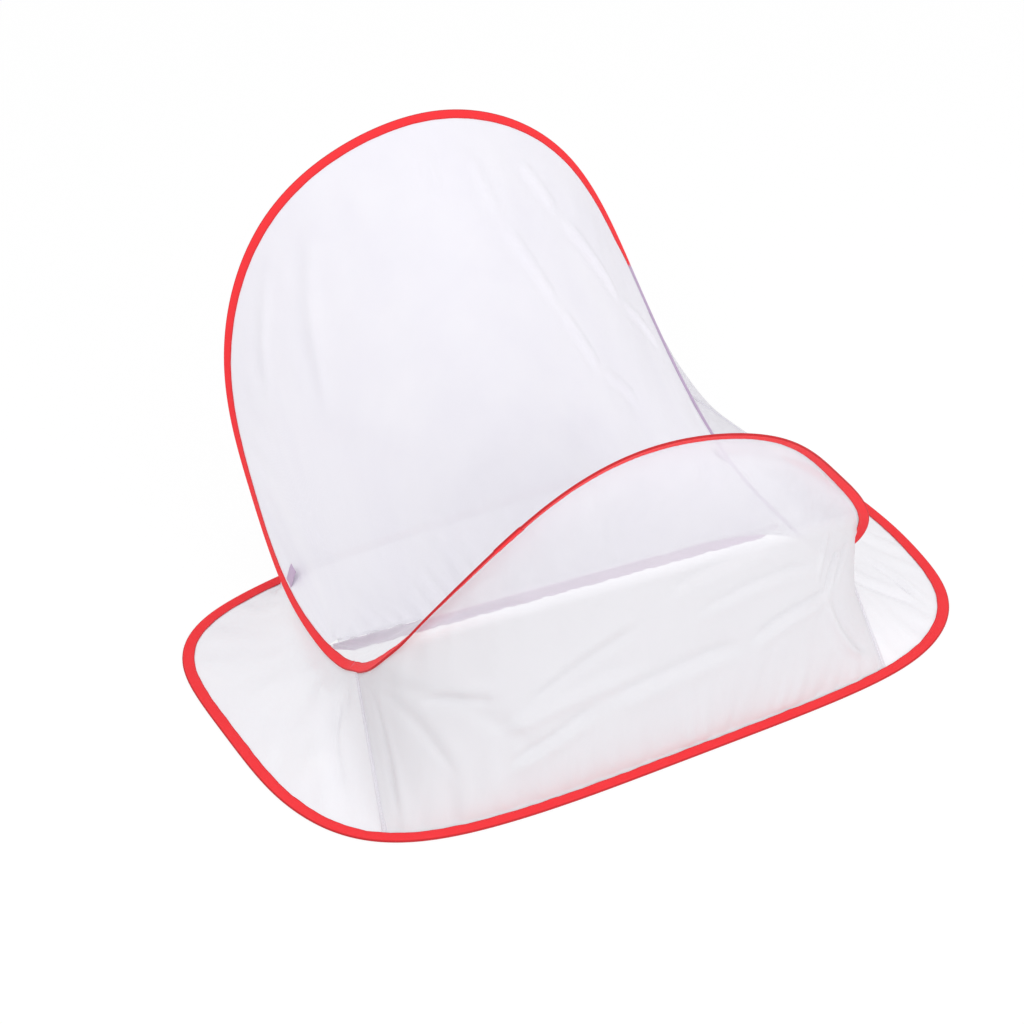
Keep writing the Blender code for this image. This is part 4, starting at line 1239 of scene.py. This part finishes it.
for tab_name, tab_share in TAB_SHARES.items():
    tab_piece(tab_name, tab_share)


# Floor, background, light and camera
FLOOR_SIZE = 40.0
FLOOR_DROP = 0.0004
FLOOR_GREY = 0.86
FLOOR_GLOW = 1.04
FLOOR_GLOW_SHARE = 0.86
WORLD_LEVEL = 0.76
WORLD_SEEN_EXTRA = 0.24
WHITE = (1.0, 1.0, 1.0, 1.0)
OTHER_SEEING_RAYS = ("Is Glossy Ray", "Is Transmission Ray")


def stage_floor():
    bpy.ops.object.select_all(action="DESELECT")
    bpy.ops.mesh.primitive_plane_add(size=FLOOR_SIZE, location=(0.0, 0.0, -FLOOR_DROP))
    floor = bpy.context.object
    floor.name = "floor"
    finish = Finish("pale_floor", (FLOOR_GREY, FLOOR_GREY, FLOOR_GREY), 0.9)
    seen = finish.node("ShaderNodeLightPath", output="Is Camera Ray")
    path = seen
    for ray in OTHER_SEEING_RAYS:
        seen = seen.above(finish.also(path, ray))
    glow = finish.node("ShaderNodeEmission", values={"Color": WHITE, "Strength": FLOOR_GLOW})
    mix = finish.node("ShaderNodeMixShader", values={0: seen * FLOOR_GLOW_SHARE})
    finish.tree.links.new(finish.shader.outputs[0], mix.socket.node.inputs[1])
    finish.tree.links.new(glow.socket, mix.socket.node.inputs[2])
    output = finish.tree.nodes["Material Output"]
    finish.tree.links.new(mix.socket, output.inputs["Surface"])
    floor.data.materials.append(finish.material)


def studio_world():
    """White all round, brighter where it is seen than where it lights."""
    world = bpy.data.worlds.new("studio")
    bpy.context.scene.world = world
    world.use_nodes = True
    tree = world.node_tree
    background = tree.nodes["Background"]
    background.inputs["Color"].default_value = WHITE
    path = tree.nodes.new("ShaderNodeLightPath")
    seen = path.outputs["Is Camera Ray"]
    for ray in OTHER_SEEING_RAYS:
        either = tree.nodes.new("ShaderNodeMath")
        either.operation = "MAXIMUM"
        tree.links.new(seen, either.inputs[0])
        tree.links.new(path.outputs[ray], either.inputs[1])
        seen = either.outputs[0]
    level = tree.nodes.new("ShaderNodeMath")
    level.operation = "MULTIPLY_ADD"
    tree.links.new(seen, level.inputs[0])
    level.inputs[1].default_value = WORLD_SEEN_EXTRA
    level.inputs[2].default_value = WORLD_LEVEL
    tree.links.new(level.outputs[0], background.inputs["Strength"])


def soft_lamp(name, place, target, power, size):
    bpy.ops.object.light_add(type="AREA", location=place)
    lamp = bpy.context.object
    lamp.name = name
    lamp.data.energy = power
    lamp.data.size = size
    lamp.rotation_mode = "QUATERNION"
    lamp.rotation_quaternion = (Vector(target) - Vector(place)).to_track_quat("-Z", "Y")


stage_floor()
studio_world()
soft_lamp("key", (-2.2, -1.4, 3.0), (0.0, 0.0, 0.2), 33.0, 2.2)
soft_lamp("fill", (1.2, -3.0, 1.1), (0.0, 0.0, 0.2), 33.0, 2.5)

LOOK_AT = Vector((0.065, 0.1963, 0.0))
CAMERA_BACK = Vector((-0.4135, -0.7187, 0.5591)).normalized()
CAMERA_DISTANCE = 3.795
CAMERA_SENSOR_MM = 36.0
CAMERA_LENS_MM = 84.375
bpy.ops.object.camera_add(location=LOOK_AT + CAMERA_BACK * CAMERA_DISTANCE)
camera = bpy.context.object
camera.name = "camera"
camera.rotation_mode = "QUATERNION"
camera.rotation_quaternion = (-CAMERA_BACK).to_track_quat("-Z", "Y")
camera.data.sensor_width = CAMERA_SENSOR_MM
camera.data.lens = CAMERA_LENS_MM
bpy.context.scene.camera = camera
bpy.context.scene.view_settings.view_transform = "Standard"
